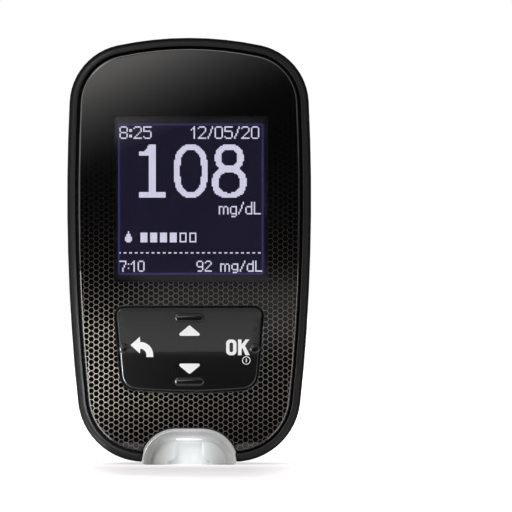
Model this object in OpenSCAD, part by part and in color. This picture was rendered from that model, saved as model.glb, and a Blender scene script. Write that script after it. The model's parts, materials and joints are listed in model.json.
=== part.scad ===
// Handheld blood glucose meter: a two-part case with a glossy face plate,
// a dot-matrix screen, one rocking key plate, a lit strip port with a side
// ejector, a circuit board, a USB socket and two coin cells.
// X runs across the width, +Z runs up the body and the screen faces -Y.
// The origin is on the standing surface, under the middle of the body.

/* [Body] */
// Width at the widest level
body_w = 46.6; // [46:0.2:52]
// Height from the strip port's feet to the top
body_h = 81.5; // [80:0.5:90]
// Thickness from the key bumps to the back
body_d = 20; // [20:0.5:24]
// Level at which the body is widest
widest_z = 51; // [46:1:56]
// Radius of the slightly bowed sides
side_r = 375; // [300:5:500]
// Radius of the top edge
top_r = 66; // [60:1:80]
// Radius of the bottom edge
bottom_r = 87; // [80:1:100]
// Radius of the two upper corners
upper_corner_r = 11.6; // [11:0.1:13]
// Radius of the two lower corners
lower_corner_r = 12.7; // [12:0.1:13.5]

/* [Case] */
// Thickness of the side walls
wall = 1.8; // [1.6:0.1:2]
// Thickness of the front wall behind the face plate
front_wall = 1.2; // [1:0.1:1.4]
// Thickness of the back wall
back_wall = 1.5; // [1.2:0.1:1.8]
// Rounding of the rim's outer edge
rim_round = 1.4; // [0.6:0.1:1.5]
// Rounding of the back edge
back_round = 4; // [3:0.1:4.5]
// Width of the rim round the face plate
rim_w = 1.6; // [1.4:0.1:2]
// Depth of the front case, from its rim to the joint
front_case_d = 8.3; // [8:0.1:9]
// Width and depth of the shadow line at the joint
seam = 0.3; // [0.2:0.05:0.5]

/* [Face plate] */
// Thickness of the face plate
plate_t = 1.2; // [1:0.1:1.4]
// Gap between the rim and the face plate
plate_gap = 0.4; // [0.2:0.05:0.6]
// Bevel of the face plate's edge
plate_bevel = 0.4; // [0.2:0.05:0.6]
// How far the face plate stands in front of the rim
plate_proud = 0.2; // [0.1:0.05:0.4]

/* [Screen] */
// Width of the window
window_w = 29.4; // [28.8:0.1:30.4]
// Height of the window
window_h = 31.7; // [31:0.1:32.6]
// Distance from the key plate up to the window
window_gap = 4.85; // [4.6:0.05:6]
// Offset of the window to the right
window_x = 0.3; // [0:0.1:0.6]
// Width of the lit picture
picture_w = 27.8; // [26:0.1:28]
// Height of the lit picture
picture_h = 28.9; // [27:0.1:29.6]
// Width of the glass panel
panel_w = 30.4; // [30:0.1:31]
// Height of the glass panel
panel_h = 33; // [32.6:0.1:33.6]
// Thickness of the glass panel
panel_t = 1.6; // [1.2:0.1:1.7]
// Thickness of the backlight
backlight_t = 1.4; // [1:0.1:1.5]

/* [Keys] */
// Level of the key plate's centre
key_z = 22; // [21.8:0.1:22.4]
// Height of the key plate
key_h = 16; // [15:0.1:16.4]
// Width of the key plate near its top
key_top_w = 27.8; // [27:0.1:28]
// Width of the key plate near its bottom
key_bottom_w = 25.8; // [25:0.1:26.4]
// Radius of the key plate's upper corners
key_top_r = 1.5; // [1:0.1:2]
// Radius of the key plate's lower corners
key_bottom_r = 2.9; // [2:0.1:3.4]
// Thickness of the key plate
key_t = 1.4; // [1.2:0.1:1.5]
// Gap round the key plate
key_gap = 0.4; // [0.3:0.05:0.5]
// How far the key plate stands in front of the face plate
key_proud = 0.15; // [0:0.05:0.3]
// Height of the finger bumps
bump_h = 0.35; // [0.2:0.05:0.5]
// Distance from the centre to the up and down domes
dome_z = 6; // [5:0.1:6]
// Distance from the centre to the left and right domes
dome_x = 10; // [9:0.1:10.5]
// Radius of the snap domes
dome_r = 2; // [1.5:0.1:2.2]
// Distance that a dome travels
dome_travel = 0.3; // [0.28:0.02:0.4]

/* [Strip port] */
// Radius of the port's shoulders
port_r = 6.4; // [6:0.1:6.6]
// Distance from the centre to each shoulder's centre
port_half = 2.6; // [2:0.1:3]
// Width of the strip channel
channel_w = 5.4; // [5:0.1:5.6]
// Thickness of the strip slot
slot_t = 0.9; // [0.7:0.05:1]
// Width of the strip connector
connector_w = 10; // [9:0.1:11]
// Number of contact leaves
contact_count = 5; // [3:1:5]

/* [Ejector] */
// Travel of the button and of the slider
eject_travel = 1.8; // [1.4:0.1:1.8]
// Height of the button
button_h = 7; // [6:0.1:7.2]
// Width of the button across the side wall
button_w = 4; // [3.6:0.1:4.2]
// Level of the button's centre
button_z = 23.9; // [23.6:0.1:24.4]
// Outer radius of the return spring
spring_r = 0.75; // [0.65:0.05:0.8]
// Wire diameter of the return spring
spring_wire = 0.25; // [0.2:0.05:0.3]
// Turns of the return spring
spring_turns = 5; // [4:1:6]

/* [Power] */
// Diameter of a coin cell
cell_d = 20; // [20]
// Thickness of a coin cell
cell_t = 3.2; // [3.2]
// Gap between the two cells
cell_gap = 0.6; // [0.4:0.1:0.7]
// Clearance round a cell in its well
cell_clear = 0.4; // [0.4:0.05:0.5]
// Distance from the top of the body down to the cells' centres
cell_drop = 21.5; // [21:0.5:22]
// Width of the battery door
door_w = 41.2; // [41:0.1:41.6]
// Distance from the cells' centres down to the battery door's lower edge
door_below = 12.4; // [12:0.1:13]
// Distance from the cells' centres up to the battery door's upper edge
door_above = 11.6; // [11.4:0.1:11.8]
// Clearance between the battery door and the case
door_gap = 0.15; // [0.1:0.05:0.2]
// Radius of the battery door's hinge nose
nose_r = 0.6; // [0.5:0.05:0.7]

/* [Board and fasteners] */
// Thickness of the circuit board
board_t = 1; // [0.8:0.1:1.2]
// Distance from the front wall to the circuit board
board_depth = 3.5; // [3.5:0.1:3.8]
// Gap between the circuit board and the side walls
board_gap = 0.5; // [0.4:0.1:0.8]
// Shank radius of the case screws
screw_r = 0.85; // [0.7:0.05:0.9]
// Head radius of the case screws
screw_head_r = 1.6; // [1.4:0.05:1.7]
// Shank length of the case screws
screw_l = 6; // [5:0.1:6.5]
// Width of the USB shell
usb_w = 7.5; // [7.5]
// Height of the USB shell
usb_t = 2.6; // [2.6]
// Depth of the USB shell
usb_l = 5.4; // [5:0.1:6]
// Width of the rear label
label_w = 30; // [24:1:32]
// Height of the rear label
label_h = 24; // [20:1:26]

/* [Hidden] */
$fn = 96;

// Running clearance between pieces that slide, and fit between fixed ones
slide_fit = 0.15;
fit = 0.05;
// Overrun of a cutting shape past the face it cuts, and overlap of joined shapes
over = 1;
join = 0.1;

// Levels through the thickness, from the front to the back
y_back = body_d / 2;
y_bump = -body_d / 2;
y_key = y_bump + bump_h;
y_key_in = y_key + key_t;
y_plate = y_key + key_proud;
y_plate_in = y_plate + plate_t;
y_rim = y_plate + plate_proud;
y_wall_in = y_plate_in + front_wall;
y_seam = y_rim + front_case_d;
y_board = y_wall_in + board_depth;
y_board_in = y_board + board_t;
y_back_in = y_back - back_wall;

// Case
plate_edge = rim_w + plate_gap;
cavity_step = 1.2;
usb_gap = 0.3;
piezo_hole_r = 0.5;
piezo_hole_drop = 10;
piezo_hole_pitch = 2;

// Screws, their bosses and their wells
low_screw_in = 8.9;
low_screw_z = 6.9;
high_screw_in = 11.3;
high_screw_drop = 6.7;
low_screw = [body_w / 2 - low_screw_in, low_screw_z];
high_screw = [body_w / 2 - high_screw_in, body_h - high_screw_drop];
screw_spots = [for (s = [low_screw, high_screw]) each [[-s[0], s[1]], s]];
screw_fit = 0.02;
boss_r = 2.1;
shoulder_r = 2.5;
pilot_depth = 1.6;
well_wall = 1.1;
screw_head_t = 1.2;
recess_l = 1.8;
recess_w = 0.4;
recess_d = 0.6;
screw_floor_t = 2.2;
y_screw_seat = y_seam + screw_floor_t;
well_bore = screw_head_r + slide_fit;

// Screen
window_z = key_z + key_h / 2 + window_gap + window_h / 2;
frame_flange = 1;
frame_steps = 4;
frame_lead = 0.2;
window_corner_r = 0.4;
panel_corner_r = 0.2;
tray_rim = 0.5;
tray_setback = 0.4;
flex_half = 6;
flex_t = 0.15;
flex_drop = 0.35;
flex_foot = 2;
flex_gap = 0.4;
flex_setback = 0.9;
y_flex = y_wall_in + flex_setback;
y_backlight = y_wall_in + panel_t;

// Keys
key_bevel = 0.25;
key_bow_r = 110;
key_bow = 0.45;
bar_l = 5.6;
bar_w = 1.65;
bar_inset = 1.9;
dot_r = 0.95;
dot_inset = 0.4;
dot_rise = 0.2;
dome_h = 0.25;
dome_top = 0.65;
plunger_r = 0.9;
plunger_gap = 0.25;
y_plunger = y_board - dome_h - dome_travel;
pad_gap = 0.55;
y_pad = y_key_in + pad_gap;
pad_t = 1;
pad_inset = 1;
rock_seat = 0.25;
rock_y = y_key_in + rock_seat;
rock_r = 0.55;
rock_x = 7;
rock_half = 2.5;
fulcrum_r = 0.8;
fulcrum_y = y_board - fulcrum_r - fit;
fulcrum_half = 1.8;
mat_w = 30;
mat_margin = 1.8;
mat_gap = 0.3;

// Board and what it carries
board_z0 = 7.2;
chip_corner_r = 0.15;
chip_z = 42;
processor_x = 3;
processor_w = 9;
processor_t = 1.2;
memory_x = -9;
memory_size = [5, 4, 0.9];
radio_in = 10.8;
radio_drop = 14.5;
radio_x = radio_in - body_w / 2;
radio_z = body_h - radio_drop;
radio_size = [7, 9, 1.8];
crystal_x = 11.5;
crystal_size = [1.5, 3.2, 0.8];
capacitor_z = 35;
capacitor_size = [0.8, 1.6, 0.8];
piezo_x = -9;
piezo_z = 24;
piezo_r = 4.5;
piezo_t = 1.2;
piezo_cap_r = 3;
piezo_cap_t = 0.3;
capacitor_count = 8;
capacitor_pitch = 1.8;
usb_skin = 0.3;
usb_top = body_h - 0.3;
tongue_half = 1.8;
tongue_rise = 1.2;
tongue_t = 0.6;

// Battery bay, cells and contacts
bay_floor_t = 0.8;
bay_wall_t = 0.8;
bay_margin = 1.3;
leaf_h = 0.5;
leaf_half = 6;
leaf_w = 4;
leaf_t = 0.2;
leaf_lip = 1.5;
leaf_crest = 1;
door_pad_h = 0.35;
door_pad_r = 1.5;
cell_z = body_h - cell_drop;
door_z0 = cell_z - door_below;
door_z1 = cell_z + door_above;
y_cell_in = y_back_in - door_pad_h - fit;
y_cell = y_cell_in - cell_t;
y_bay = y_cell - leaf_h;
y_bay_floor = y_bay - bay_floor_t;
cell_x = (cell_d + cell_gap) / 2;
well_r = cell_d / 2 + cell_clear;
bay_z0 = door_z0 - bay_margin;
bay_z1 = door_z1 + bay_margin;
clip_rise = 7.75;
clip_z = cell_z + clip_rise;
clip_t = 0.25;
clip_half = 1;
clip_gap = 0.6;
clip_inset = 0.3;
cap_step = 1.2;
cap_r = cell_d / 2 - cap_step;
cap_t = 0.5;

// Battery door
door_corner_r = 0.8;
nose_y = y_back - nose_r;
nose_z = door_z0 + nose_r;
hook_x = 2.4;
hook_w = 2;
hook_h = 1.2;
hook_d = 1;
hook_t = 0.8;
latch_half = 4.2;
latch_slot = 0.6;
latch_h = 5;
grip_d = 0.4;
grip_margin = 0.7;
label_lift = 8.4;
label_z = (door_z0 + label_lift) / 2;
label_d = 0.2;
label_r = 1.5;

// Strip port and connector
port_z = 0.15;
port_turn = 5;
foot_r = 0.6;
port_fit = 0.2;
port_cut = 0.5;
port_lip = 0.75;
port_lip_in = 1.5;
port_shelf_z = 4.3;
port_top_z = 6.8;
port_block_half = connector_w / 2 + 1;
tray_half = 3.9;
tray_lift = 0.3;
flare_r = 1.4;
flare_z = 2;
y_port = y_rim - 0.1;
y_port_in = y_board + 0.1;
slot_depth = 2.15;
y_slot = y_board - slot_depth;
y_channel = y_slot + slot_t;
scoop_floor_t = 0.95;
y_scoop = y_slot - scoop_floor_t;
connector_z0 = port_top_z + 0.1;
connector_z1 = 12.8;
contact_pitch = 1;
contact_w = 0.5;
contact_t = 0.25;
contact_drop = 0.7;
contact_z0 = connector_z0 + 0.5;
lamp_x = connector_w / 2 + 1.6;
lamp_w = 1.6;
lamp_h = 0.8;

// Ejector
arm_z = 11.9;
arm_h = 1;
arm_t = 0.75;
y_arm = y_wall_in + slide_fit;
finger_half = 1.2;
finger_gap = 0.2;
leg_in = 7.8;
leg_x = body_w / 2 - leg_in;
leg_w = 3;
leg_z = 11.6;
ramp_z = 21.8;
slider_t = 3.2;
slot_half = 0.9;
slot_z0 = 14.8;
slot_z1 = 20.4;
peg_h = 1;
spring_z0 = slot_z0 + slide_fit + peg_h;
spring_y = y_wall_in + 1.75;
spring_x = leg_x + leg_w / 2;
y_button = y_wall_in + 0.2;
button_z0 = button_z - button_h / 2;
button_z1 = button_z + button_h / 2;
wedge_t = slider_t - 0.4;
wedge_shrink = 0.2;
wedge_top = 0.8;
catch_t = 0.6;
catch_h = 0.8;
board_notch = 1.4;

// ---- outline of the body: five tangent arcs on each side ----

function meet(a, ra, b, rb) = // right-hand crossing of two circles
    let (d = norm(b - a), along = (ra * ra - rb * rb + d * d) / (2 * d))
    let (off = sqrt(ra * ra - along * along), u = (b - a) / d)
    let (p = a + along * u, side = [-u[1], u[0]])
    side[0] > 0 ? p + off * side : p - off * side;

function heading(a, b) = atan2(b[1] - a[1], b[0] - a[0]);

top_c = [0, body_h - top_r];
bottom_c = [0, bottom_r];
side_c = [body_w / 2 - side_r, widest_z];
upper_c = meet(side_c, side_r - upper_corner_r, top_c, top_r - upper_corner_r);
lower_c = meet(side_c, side_r - lower_corner_r, bottom_c, bottom_r - lower_corner_r);
top_turn = heading(top_c, upper_c);
upper_turn = heading(side_c, upper_c);
lower_turn = heading(side_c, lower_c);
bottom_turn = heading(bottom_c, lower_c);

// Half width of the body's outline on the bowed side at a level
function half_width(z) = side_c[0] + sqrt(pow(side_r, 2) - pow(z - widest_z, 2));

// Inner face of the ejector button's cap
button_x = half_width(button_z) - wall - fit;

// Steps along each arc of the outline, from the bottom to the top
BOTTOM_STEPS = 3;
CORNER_STEPS = 12;
SIDE_STEPS = 8;
TOP_STEPS = 4;
ROUND_STEPS = 6;

function outline_half(inset) = concat(
    stretch(bottom_c, bottom_r - inset, -90, bottom_turn, BOTTOM_STEPS),
    stretch(lower_c, lower_corner_r - inset, bottom_turn, lower_turn, CORNER_STEPS),
    stretch(side_c, side_r - inset, lower_turn, upper_turn, SIDE_STEPS),
    stretch(upper_c, upper_corner_r - inset, upper_turn, top_turn, CORNER_STEPS),
    stretch(top_c, top_r - inset, top_turn, 90, TOP_STEPS)
);

// The points of an arc without its last one, which starts the next arc
function stretch(c, r, from, to, steps) =
    [for (i = [0:steps - 1]) let (a = from + (to - from) * i / steps) c + r * [cos(a), sin(a)]];

// The body's outline drawn in by `inset`, anticlockwise as seen from the front
function outline_points(inset) = let (half = outline_half(inset), n = len(half)) concat(
    half, [[0, body_h - inset]], [for (i = [n - 1:-1:1]) [-half[i][0], half[i][1]]]
);

// A plain slice of the body, drawn in by `inset`, from depth y0 to y1
module body_solid(inset, y0, y1) {
    slab(y0, y1) polygon(outline_points(inset));
}

// The body's skin through rings of [depth, inset], from the front to the back
module body_loft(rings) {
    loops = [for (ring = rings) outline_points(ring[1])];
    n = len(loops[0]);
    last = len(rings) - 1;
    points = [for (j = [0:last]) for (p = loops[j]) [p[0], rings[j][0], p[1]]];
    walls = [
        for (j = [0:last - 1]) for (i = [0:n - 1])
            let (a = j * n + i, b = j * n + (i + 1) % n)
            each [[a, b, b + n], [a, b + n, a + n]]
    ];
    caps = [[for (i = [n - 1:-1:0]) i], [for (i = [0:n - 1]) last * n + i]];
    polyhedron(points, concat(walls, caps), convexity = 4);
}

// Rings of a rounding of radius r that ends flush at depth y: dir 1 at the front, -1 at the back
function rounding(y, r, dir) = [
    for (i = [0:ROUND_STEPS]) let (a = 90 * i / ROUND_STEPS)
        [y + dir * r * (1 - sin(a)), r * (1 - cos(a))]
];

// ---- small outlines: straight sides between round corners [x, z, r] ----

function arc_points(x, z, r, from, to, steps = 10) =
    [for (i = [0:steps]) let (a = from + (to - from) * i / steps) [x + r * cos(a), z + r * sin(a)]];

function tangent_angle(a, b) =
    atan2(b[1] - a[1], b[0] - a[0]) - 90
    + asin((a[2] - b[2]) / norm([b[0] - a[0], b[1] - a[1]]));

function turned(a, b) = a + (((b - a) % 360) + 360) % 360;

// Corners run anticlockwise; `grow` moves the whole outline out
function round_points(corners, grow = 0) = let (n = len(corners)) [
    for (i = [0:n - 1])
        let (c = corners[i], a = tangent_angle(corners[(i + n - 1) % n], c))
        let (b = tangent_angle(c, corners[(i + 1) % n]))
        each arc_points(c[0], c[1], c[2] + grow, a, turned(a, b))
];

function box_corners(x, z, w, h, r) = [
    [x + w / 2 - r, z - h / 2 + r, r], [x + w / 2 - r, z + h / 2 - r, r],
    [x - w / 2 + r, z + h / 2 - r, r], [x - w / 2 + r, z - h / 2 + r, r]
];

key_corners = let (z0 = key_z - key_h / 2, z1 = key_z + key_h / 2)
    let (xt = key_top_w / 2 - key_top_r, xb = key_bottom_w / 2 - key_bottom_r) [
        [xb, z0 + key_bow + key_bottom_r, key_bottom_r],
        [xt, z1 - key_top_r, key_top_r],
        [-xt, z1 - key_top_r, key_top_r],
        [-xb, z0 + key_bow + key_bottom_r, key_bottom_r],
        [0, z0 + key_bow_r, key_bow_r]
    ];

door_corners = box_corners(0, (door_z0 + door_z1) / 2, door_w, door_z1 - door_z0, door_corner_r);

module rounded_box(x, z, w, h, r, grow = 0) {
    polygon(round_points(box_corners(x, z, w, h, r), grow));
}

module key_outline(grow = 0) {
    polygon(round_points(key_corners, grow));
}

// The port: one shoulder arc and one small foot on each side, flat underneath
module port_outline(grow = 0) {
    foot_x = port_half + port_r - foot_r;
    shoulder = arc_points(port_half, port_z, port_r + grow, port_turn, 90, 20);
    foot = arc_points(foot_x, foot_r, foot_r + grow, -90, 0, 6);
    right = concat(foot, shoulder);
    n = len(right);
    polygon(concat(right, [for (i = [n - 1:-1:0]) [-right[i][0], right[i][1]]]));
}

module window_outline(grow = 0) {
    rounded_box(window_x, window_z, window_w, window_h, window_corner_r, grow);
}

// ---- plain building blocks ----

module slab(y0, y1) { // a flat outline in X and Z, from depth y0 to y1
    translate([0, y1, 0]) rotate([90, 0, 0]) linear_extrude(y1 - y0) children();
}

module strip(x0, x1) { // a profile in Y and Z, from x0 to x1
    translate([x0, 0, 0]) rotate([90, 0, 90]) linear_extrude(x1 - x0) children();
}

module block(low, high) {
    translate(low) cube(high - low);
}

module rod_x(x0, x1, y, z, r) {
    translate([x0, y, z]) rotate([0, 90, 0]) cylinder(h = x1 - x0, r = r);
}

module rod_y(x, z, r, y0, y1) {
    translate([x, y0, z]) rotate([-90, 0, 0]) cylinder(h = y1 - y0, r = r);
}

module rod_z(x, y, r, z0, z1) {
    translate([x, y, z0]) cylinder(h = z1 - z0, r = r);
}

// ---- case ----

front_rounding = let (ring = rounding(y_rim, rim_round, 1)) [for (i = [ROUND_STEPS:-1:0]) ring[i]];
back_rounding = rounding(y_back, back_round, -1);

module usb_mouth() {
    block([-usb_w / 2 - usb_gap, y_board_in - usb_gap, body_h - 2 * wall],
        [usb_w / 2 + usb_gap, y_board_in + usb_t + usb_gap, body_h + over]);
}

// Opening for the strip port, open underneath
module port_opening(grow, y0, y1) {
    half = port_half + port_r + grow;
    slab(y0, y1) port_outline(grow);
    block([-half, y0, -over], [half, y1, foot_r]);
}

module button_opening() {
    block([half_width(button_z) - 2 * wall, y_button - slide_fit, button_z0 - slide_fit],
        [body_w, y_button + button_w + slide_fit, button_z1 + slide_fit]);
}

module screw_boss(s) {
    difference() {
        union() {
            rod_y(s[0], s[1], shoulder_r, y_wall_in - fit, y_board);
            rod_y(s[0], s[1], boss_r, y_wall_in - fit, y_seam);
        }
        rod_y(s[0], s[1], screw_r, y_board - pilot_depth, y_seam + over);
    }
}

module front_case() color("#2e2e30") {
    difference() {
        body_loft(concat(front_rounding, [[y_seam, 0]]));
        body_solid(wall, y_wall_in, y_seam + over);
        body_solid(rim_w, y_rim - over, y_plate_in);
        slab(y_rim - over, y_wall_in + over) window_outline(frame_flange);
        slab(y_rim - over, y_wall_in + over) key_outline(key_gap);
        port_opening(port_fit, y_rim - over, y_port_in + fit);
        block([-port_half - port_r, y_wall_in, -over], [port_half + port_r, y_port_in + fit, wall + over]);
        usb_mouth();
        button_opening();
    }
    for (s = screw_spots) screw_boss(s);
    // peg that the ejector's spring stands on
    block([spring_x - slot_half + slide_fit, y_wall_in - fit, slot_z0 + slide_fit],
        [spring_x + slot_half - slide_fit, y_wall_in + slider_t - slide_fit, spring_z0]);
}

module well_tube(s) {
    rod_y(s[0], s[1], well_bore + well_wall, y_seam, y_back_in + join);
}

module well_hole(s) {
    rod_y(s[0], s[1], screw_r + slide_fit, y_seam - over, y_screw_seat + over);
    rod_y(s[0], s[1], well_bore, y_screw_seat, y_back + over);
}

module battery_bay() {
    intersection() {
        body_solid(wall - join, y_bay_floor, y_back_in);
        union() {
            block([-body_w, y_bay_floor, bay_z0 - bay_wall_t], [body_w, y_bay, bay_z1 + bay_wall_t]);
            block([-body_w, y_bay_floor, bay_z0 - bay_wall_t], [body_w, y_back_in + join, bay_z0]);
            block([-body_w, y_bay_floor, bay_z1], [body_w, y_back_in + join, bay_z1 + bay_wall_t]);
        }
    }
    for (side = [-1, 1])
        rod_y(side * cell_x, cell_z, well_r + bay_wall_t, y_bay_floor, y_back_in - fit);
}

// Cuts inside the battery bay for the cells, their contacts and the door's hooks
module bay_cuts() {
    for (side = [-1, 1]) {
        leg_slot = side * cell_x - leaf_half;
        rod_y(side * cell_x, cell_z, well_r, y_bay, y_back_in + join);
        block([leg_slot - 0.3, y_bay_floor - over, cell_z - leaf_w / 2 - leaf_t],
            [leg_slot + 0.5, y_bay + over, cell_z + leaf_w / 2 + leaf_t]);
    }
    block([-well_r / 2, y_bay, clip_z - clip_gap], [well_r / 2, y_back_in, clip_z + clip_gap]);
    block([-clip_half - leaf_t, y_bay_floor - over, clip_z - clip_gap / 2],
        [clip_half + leaf_t, y_bay + over, clip_z + clip_gap]);
    block([-hook_x - hook_w, y_bay + hook_d, bay_z0], [hook_x + hook_w, y_back_in - fit, nose_z + 2 * hook_w]);
}

module rear_case() color("#232325") {
    difference() {
        union() {
            difference() {
                body_loft(concat([[y_seam, seam], [y_seam + seam, seam], [y_seam + seam, 0]], back_rounding));
                body_solid(wall, y_seam - over, y_back_in - cavity_step);
                body_solid(wall + cavity_step, y_seam - over, y_back_in);
            }
            battery_bay();
            for (s = screw_spots) well_tube(s);
        }
        for (s = screw_spots) well_hole(s);
        bay_cuts();
        slab(y_back_in - fit, y_back + over) polygon(round_points(door_corners, door_gap));
        usb_mouth();
        slab(y_back - label_d, y_back + over) rounded_box(0, label_z, label_w, label_h, label_r, join);
        for (i = [-1, 0, 1])
            rod_y(piezo_x + i * piezo_hole_pitch, piezo_z - piezo_hole_drop, piezo_hole_r,
                y_back_in - over, y_back + over);
    }
}

module door_hook(x) {
    y_tip = y_back_in - hook_t / 4;
    strip(x - hook_w / 2, x + hook_w / 2)
        polygon([
            [y_back_in + join, nose_z], [y_back_in + join, nose_z + hook_h],
            [y_back_in - hook_d, nose_z + hook_h], [y_back_in - hook_d, bay_z0 + clip_inset],
            [y_tip, bay_z0 + clip_inset], [y_tip, nose_z]
        ]);
}

module battery_door() color("#232325") {
    difference() {
        intersection() {
            body_loft(back_rounding);
            union() {
                intersection() {
                    slab(y_back_in, y_back) polygon(round_points(door_corners));
                    block([-body_w, y_back_in, nose_z], [body_w, y_back, body_h]);
                }
                rod_x(-door_w / 2 + door_corner_r, door_w / 2 - door_corner_r, nose_y, nose_z, nose_r);
            }
        }
        for (side = [-1, 1])
            block([side * latch_half - latch_slot / 2, y_back_in - over, door_z1 - latch_h],
                [side * latch_half + latch_slot / 2, y_back + over, door_z1 + over]);
        slab(y_back - grip_d, y_back + over)
            rounded_box(0, door_z1 - latch_h / 2, 2 * (latch_half - grip_margin),
                latch_h - 2 * grip_margin, grip_margin);
    }
    for (side = [-1, 1]) {
        rod_y(side * cell_x, cell_z, door_pad_r, y_cell_in + fit, y_back_in + join);
        door_hook(side * hook_x);
    }
}

module rear_label() color("#3a3a3c") {
    slab(y_back - label_d, y_back - fit) rounded_box(0, label_z, label_w, label_h, label_r);
}

module case_screws() color("silver") {
    for (s = screw_spots) {
        y_top = y_screw_seat + screw_head_t;
        rod_y(s[0], s[1], screw_r - screw_fit, y_screw_seat - screw_l, y_screw_seat + join);
        difference() {
            rod_y(s[0], s[1], screw_head_r, y_screw_seat, y_top);
            for (turn = [0, 90])
                translate([s[0], y_top, s[1]]) rotate([0, turn, 0])
                    cube([recess_l, 2 * recess_d, recess_w], center = true);
        }
    }
}

// ---- front panel and screen ----

module face_plate() color("#111112") {
    difference() {
        body_loft([[y_plate, plate_edge + plate_bevel], [y_plate + plate_bevel, plate_edge],
            [y_plate_in, plate_edge]]);
        slab(y_plate - over, y_plate_in + over) window_outline();
        slab(y_plate - over, y_plate_in + over) key_outline(key_gap);
        port_opening(port_cut, y_plate - over, y_plate_in + over);
    }
}

module display_window() color("#1d1b28", 0.4) {
    slab(y_plate + fit, y_plate_in) window_outline(-fit);
}

// A stepped bezel that narrows from the window to the picture
module display_frame() color("#161616") {
    edge_x = (window_w - picture_w - frame_lead) / 2;
    edge_z = (window_h - picture_h - frame_lead) / 2;
    difference() {
        slab(y_plate_in, y_wall_in) window_outline(frame_flange - fit);
        for (i = [0:frame_steps - 1]) let (k = i / (frame_steps - 1))
            slab(y_plate_in - over,
                k == 1 ? y_wall_in + over : y_plate_in + front_wall * (i + 1) / frame_steps)
                rounded_box(window_x, window_z, window_w - frame_lead - 2 * edge_x * k,
                    window_h - frame_lead - 2 * edge_z * k, window_corner_r - join);
    }
}

module panel_outline(r, grow = 0) {
    rounded_box(window_x, window_z, panel_w, panel_h, r, grow);
}

module lcd_panel() color("#1d1b28") {
    slab(y_wall_in, y_backlight) panel_outline(panel_corner_r);
}

module lcd_backlight() color("#f0f0ea") {
    slab(y_backlight, y_backlight + backlight_t) panel_outline(panel_corner_r);
}

module lcd_tray() color("#e8e8e8") {
    z_edge = window_z - panel_h / 2;
    difference() {
        slab(y_wall_in + tray_setback, y_board) panel_outline(2 * panel_corner_r, tray_rim);
        slab(y_wall_in - over, y_backlight + backlight_t) panel_outline(panel_corner_r, fit);
        block([window_x - flex_half - flex_gap, y_wall_in, z_edge - over],
            [window_x + flex_half + flex_gap, y_board, z_edge + join]);
    }
}

module lcd_flex() color("#b5651d") {
    z_edge = window_z - panel_h / 2;
    z_bend = z_edge - flex_drop;
    strip(window_x - flex_half, window_x + flex_half)
        polygon([
            [y_flex, z_edge], [y_flex, z_bend - flex_t], [y_board - flex_t, z_bend - flex_t],
            [y_board - flex_t, z_bend - flex_foot], [y_board, z_bend - flex_foot],
            [y_board, z_bend], [y_flex + flex_t, z_bend], [y_flex + flex_t, z_edge]
        ]);
}

// ---- keys ----

module finger_bar(z) {
    reach = (bar_l - bar_w) / 2;
    for (side = [-1, 1]) rod_y(side * reach, z, bar_w / 2, y_bump, y_key + join);
    block([-reach, y_bump, z - bar_w / 2], [reach, y_key + join, z + bar_w / 2]);
}

module key_plate() color("#1b1b1c") {
    slab(y_key + key_bevel, y_key_in) key_outline();
    slab(y_key, y_key + key_bevel) key_outline(-key_bevel);
    for (side = [-1, 1]) {
        finger_bar(key_z + side * (key_h / 2 - bar_inset));
        rod_y(side * (key_bottom_w / 2 - dot_inset), key_z + dot_rise, dot_r, y_bump, y_key + join);
        rod_y(0, key_z + side * dome_z, plunger_r, y_key_in - join, y_plunger);
        rod_x(side * rock_x - rock_half, side * rock_x + rock_half, rock_y, key_z, rock_r);
    }
}

module keypad_pad() color("#8a8a8c") {
    difference() {
        slab(y_pad, y_pad + pad_t) key_outline(-pad_inset);
        for (side = [-1, 1]) {
            rod_y(0, key_z + side * dome_z, plunger_r + plunger_gap, y_pad - over, y_pad + pad_t + over);
            rod_x(side * rock_x - rock_half - join, side * rock_x + rock_half + join, rock_y, key_z,
                rock_r + fit);
        }
    }
    for (side = [-1, 1])
        rod_y(side * dome_x, key_z, plunger_r, y_pad + pad_t - join, y_plunger);
    block([join - fulcrum_r, y_pad + pad_t - join, key_z - fulcrum_half + join],
        [fulcrum_r - join, fulcrum_y, key_z + fulcrum_half - join]);
    rod_z(0, fulcrum_y, fulcrum_r, key_z - fulcrum_half, key_z + fulcrum_half);
}

module keypad_frame() color("#8a8a8c") {
    difference() {
        slab(y_wall_in, y_board) rounded_box(0, key_z, mat_w, key_h + mat_margin, 1);
        slab(y_wall_in - over, y_board + over) key_outline(mat_gap);
    }
}

module dome(x, z) {
    rod_y(x, z, dome_r, y_board - dome_h / 2, y_board);
    rod_y(x, z, dome_r * dome_top, y_board - dome_h, y_board - dome_h / 2 + fit);
}

module dome_switches() color("silver") {
    for (side = [-1, 1]) {
        dome(0, key_z + side * dome_z);
        dome(side * dome_x, key_z);
    }
}

// ---- circuit board ----

module main_board() color("#1f5d3a") {
    difference() {
        body_solid(wall + board_gap, y_board, y_board_in);
        block([-body_w, y_board - over, -over], [body_w, y_board_in + over, board_z0]);
        for (s = screw_spots) rod_y(s[0], s[1], boss_r + slide_fit, y_board - over, y_board_in + over);
        block([button_x - eject_travel - board_notch, y_board - over, button_z0 - catch_t],
            [body_w, y_board_in + over, button_z1 + catch_h + slide_fit]);
    }
}

module chip(x, z, size) { // size is [width, height, thickness]
    slab(y_board_in, y_board_in + size[2]) rounded_box(x, z, size[0], size[1], chip_corner_r);
}

module processor() color("#202020") {
    chip(processor_x, chip_z, [processor_w, processor_w, processor_t]);
}

module memory_chip() color("#202020") {
    chip(memory_x, chip_z, memory_size);
}

module radio_module() color("#b8bcc0") {
    chip(radio_x, radio_z, radio_size);
}

module clock_crystal() color("#c8c8c8") {
    chip(crystal_x, chip_z, crystal_size);
}

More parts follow.
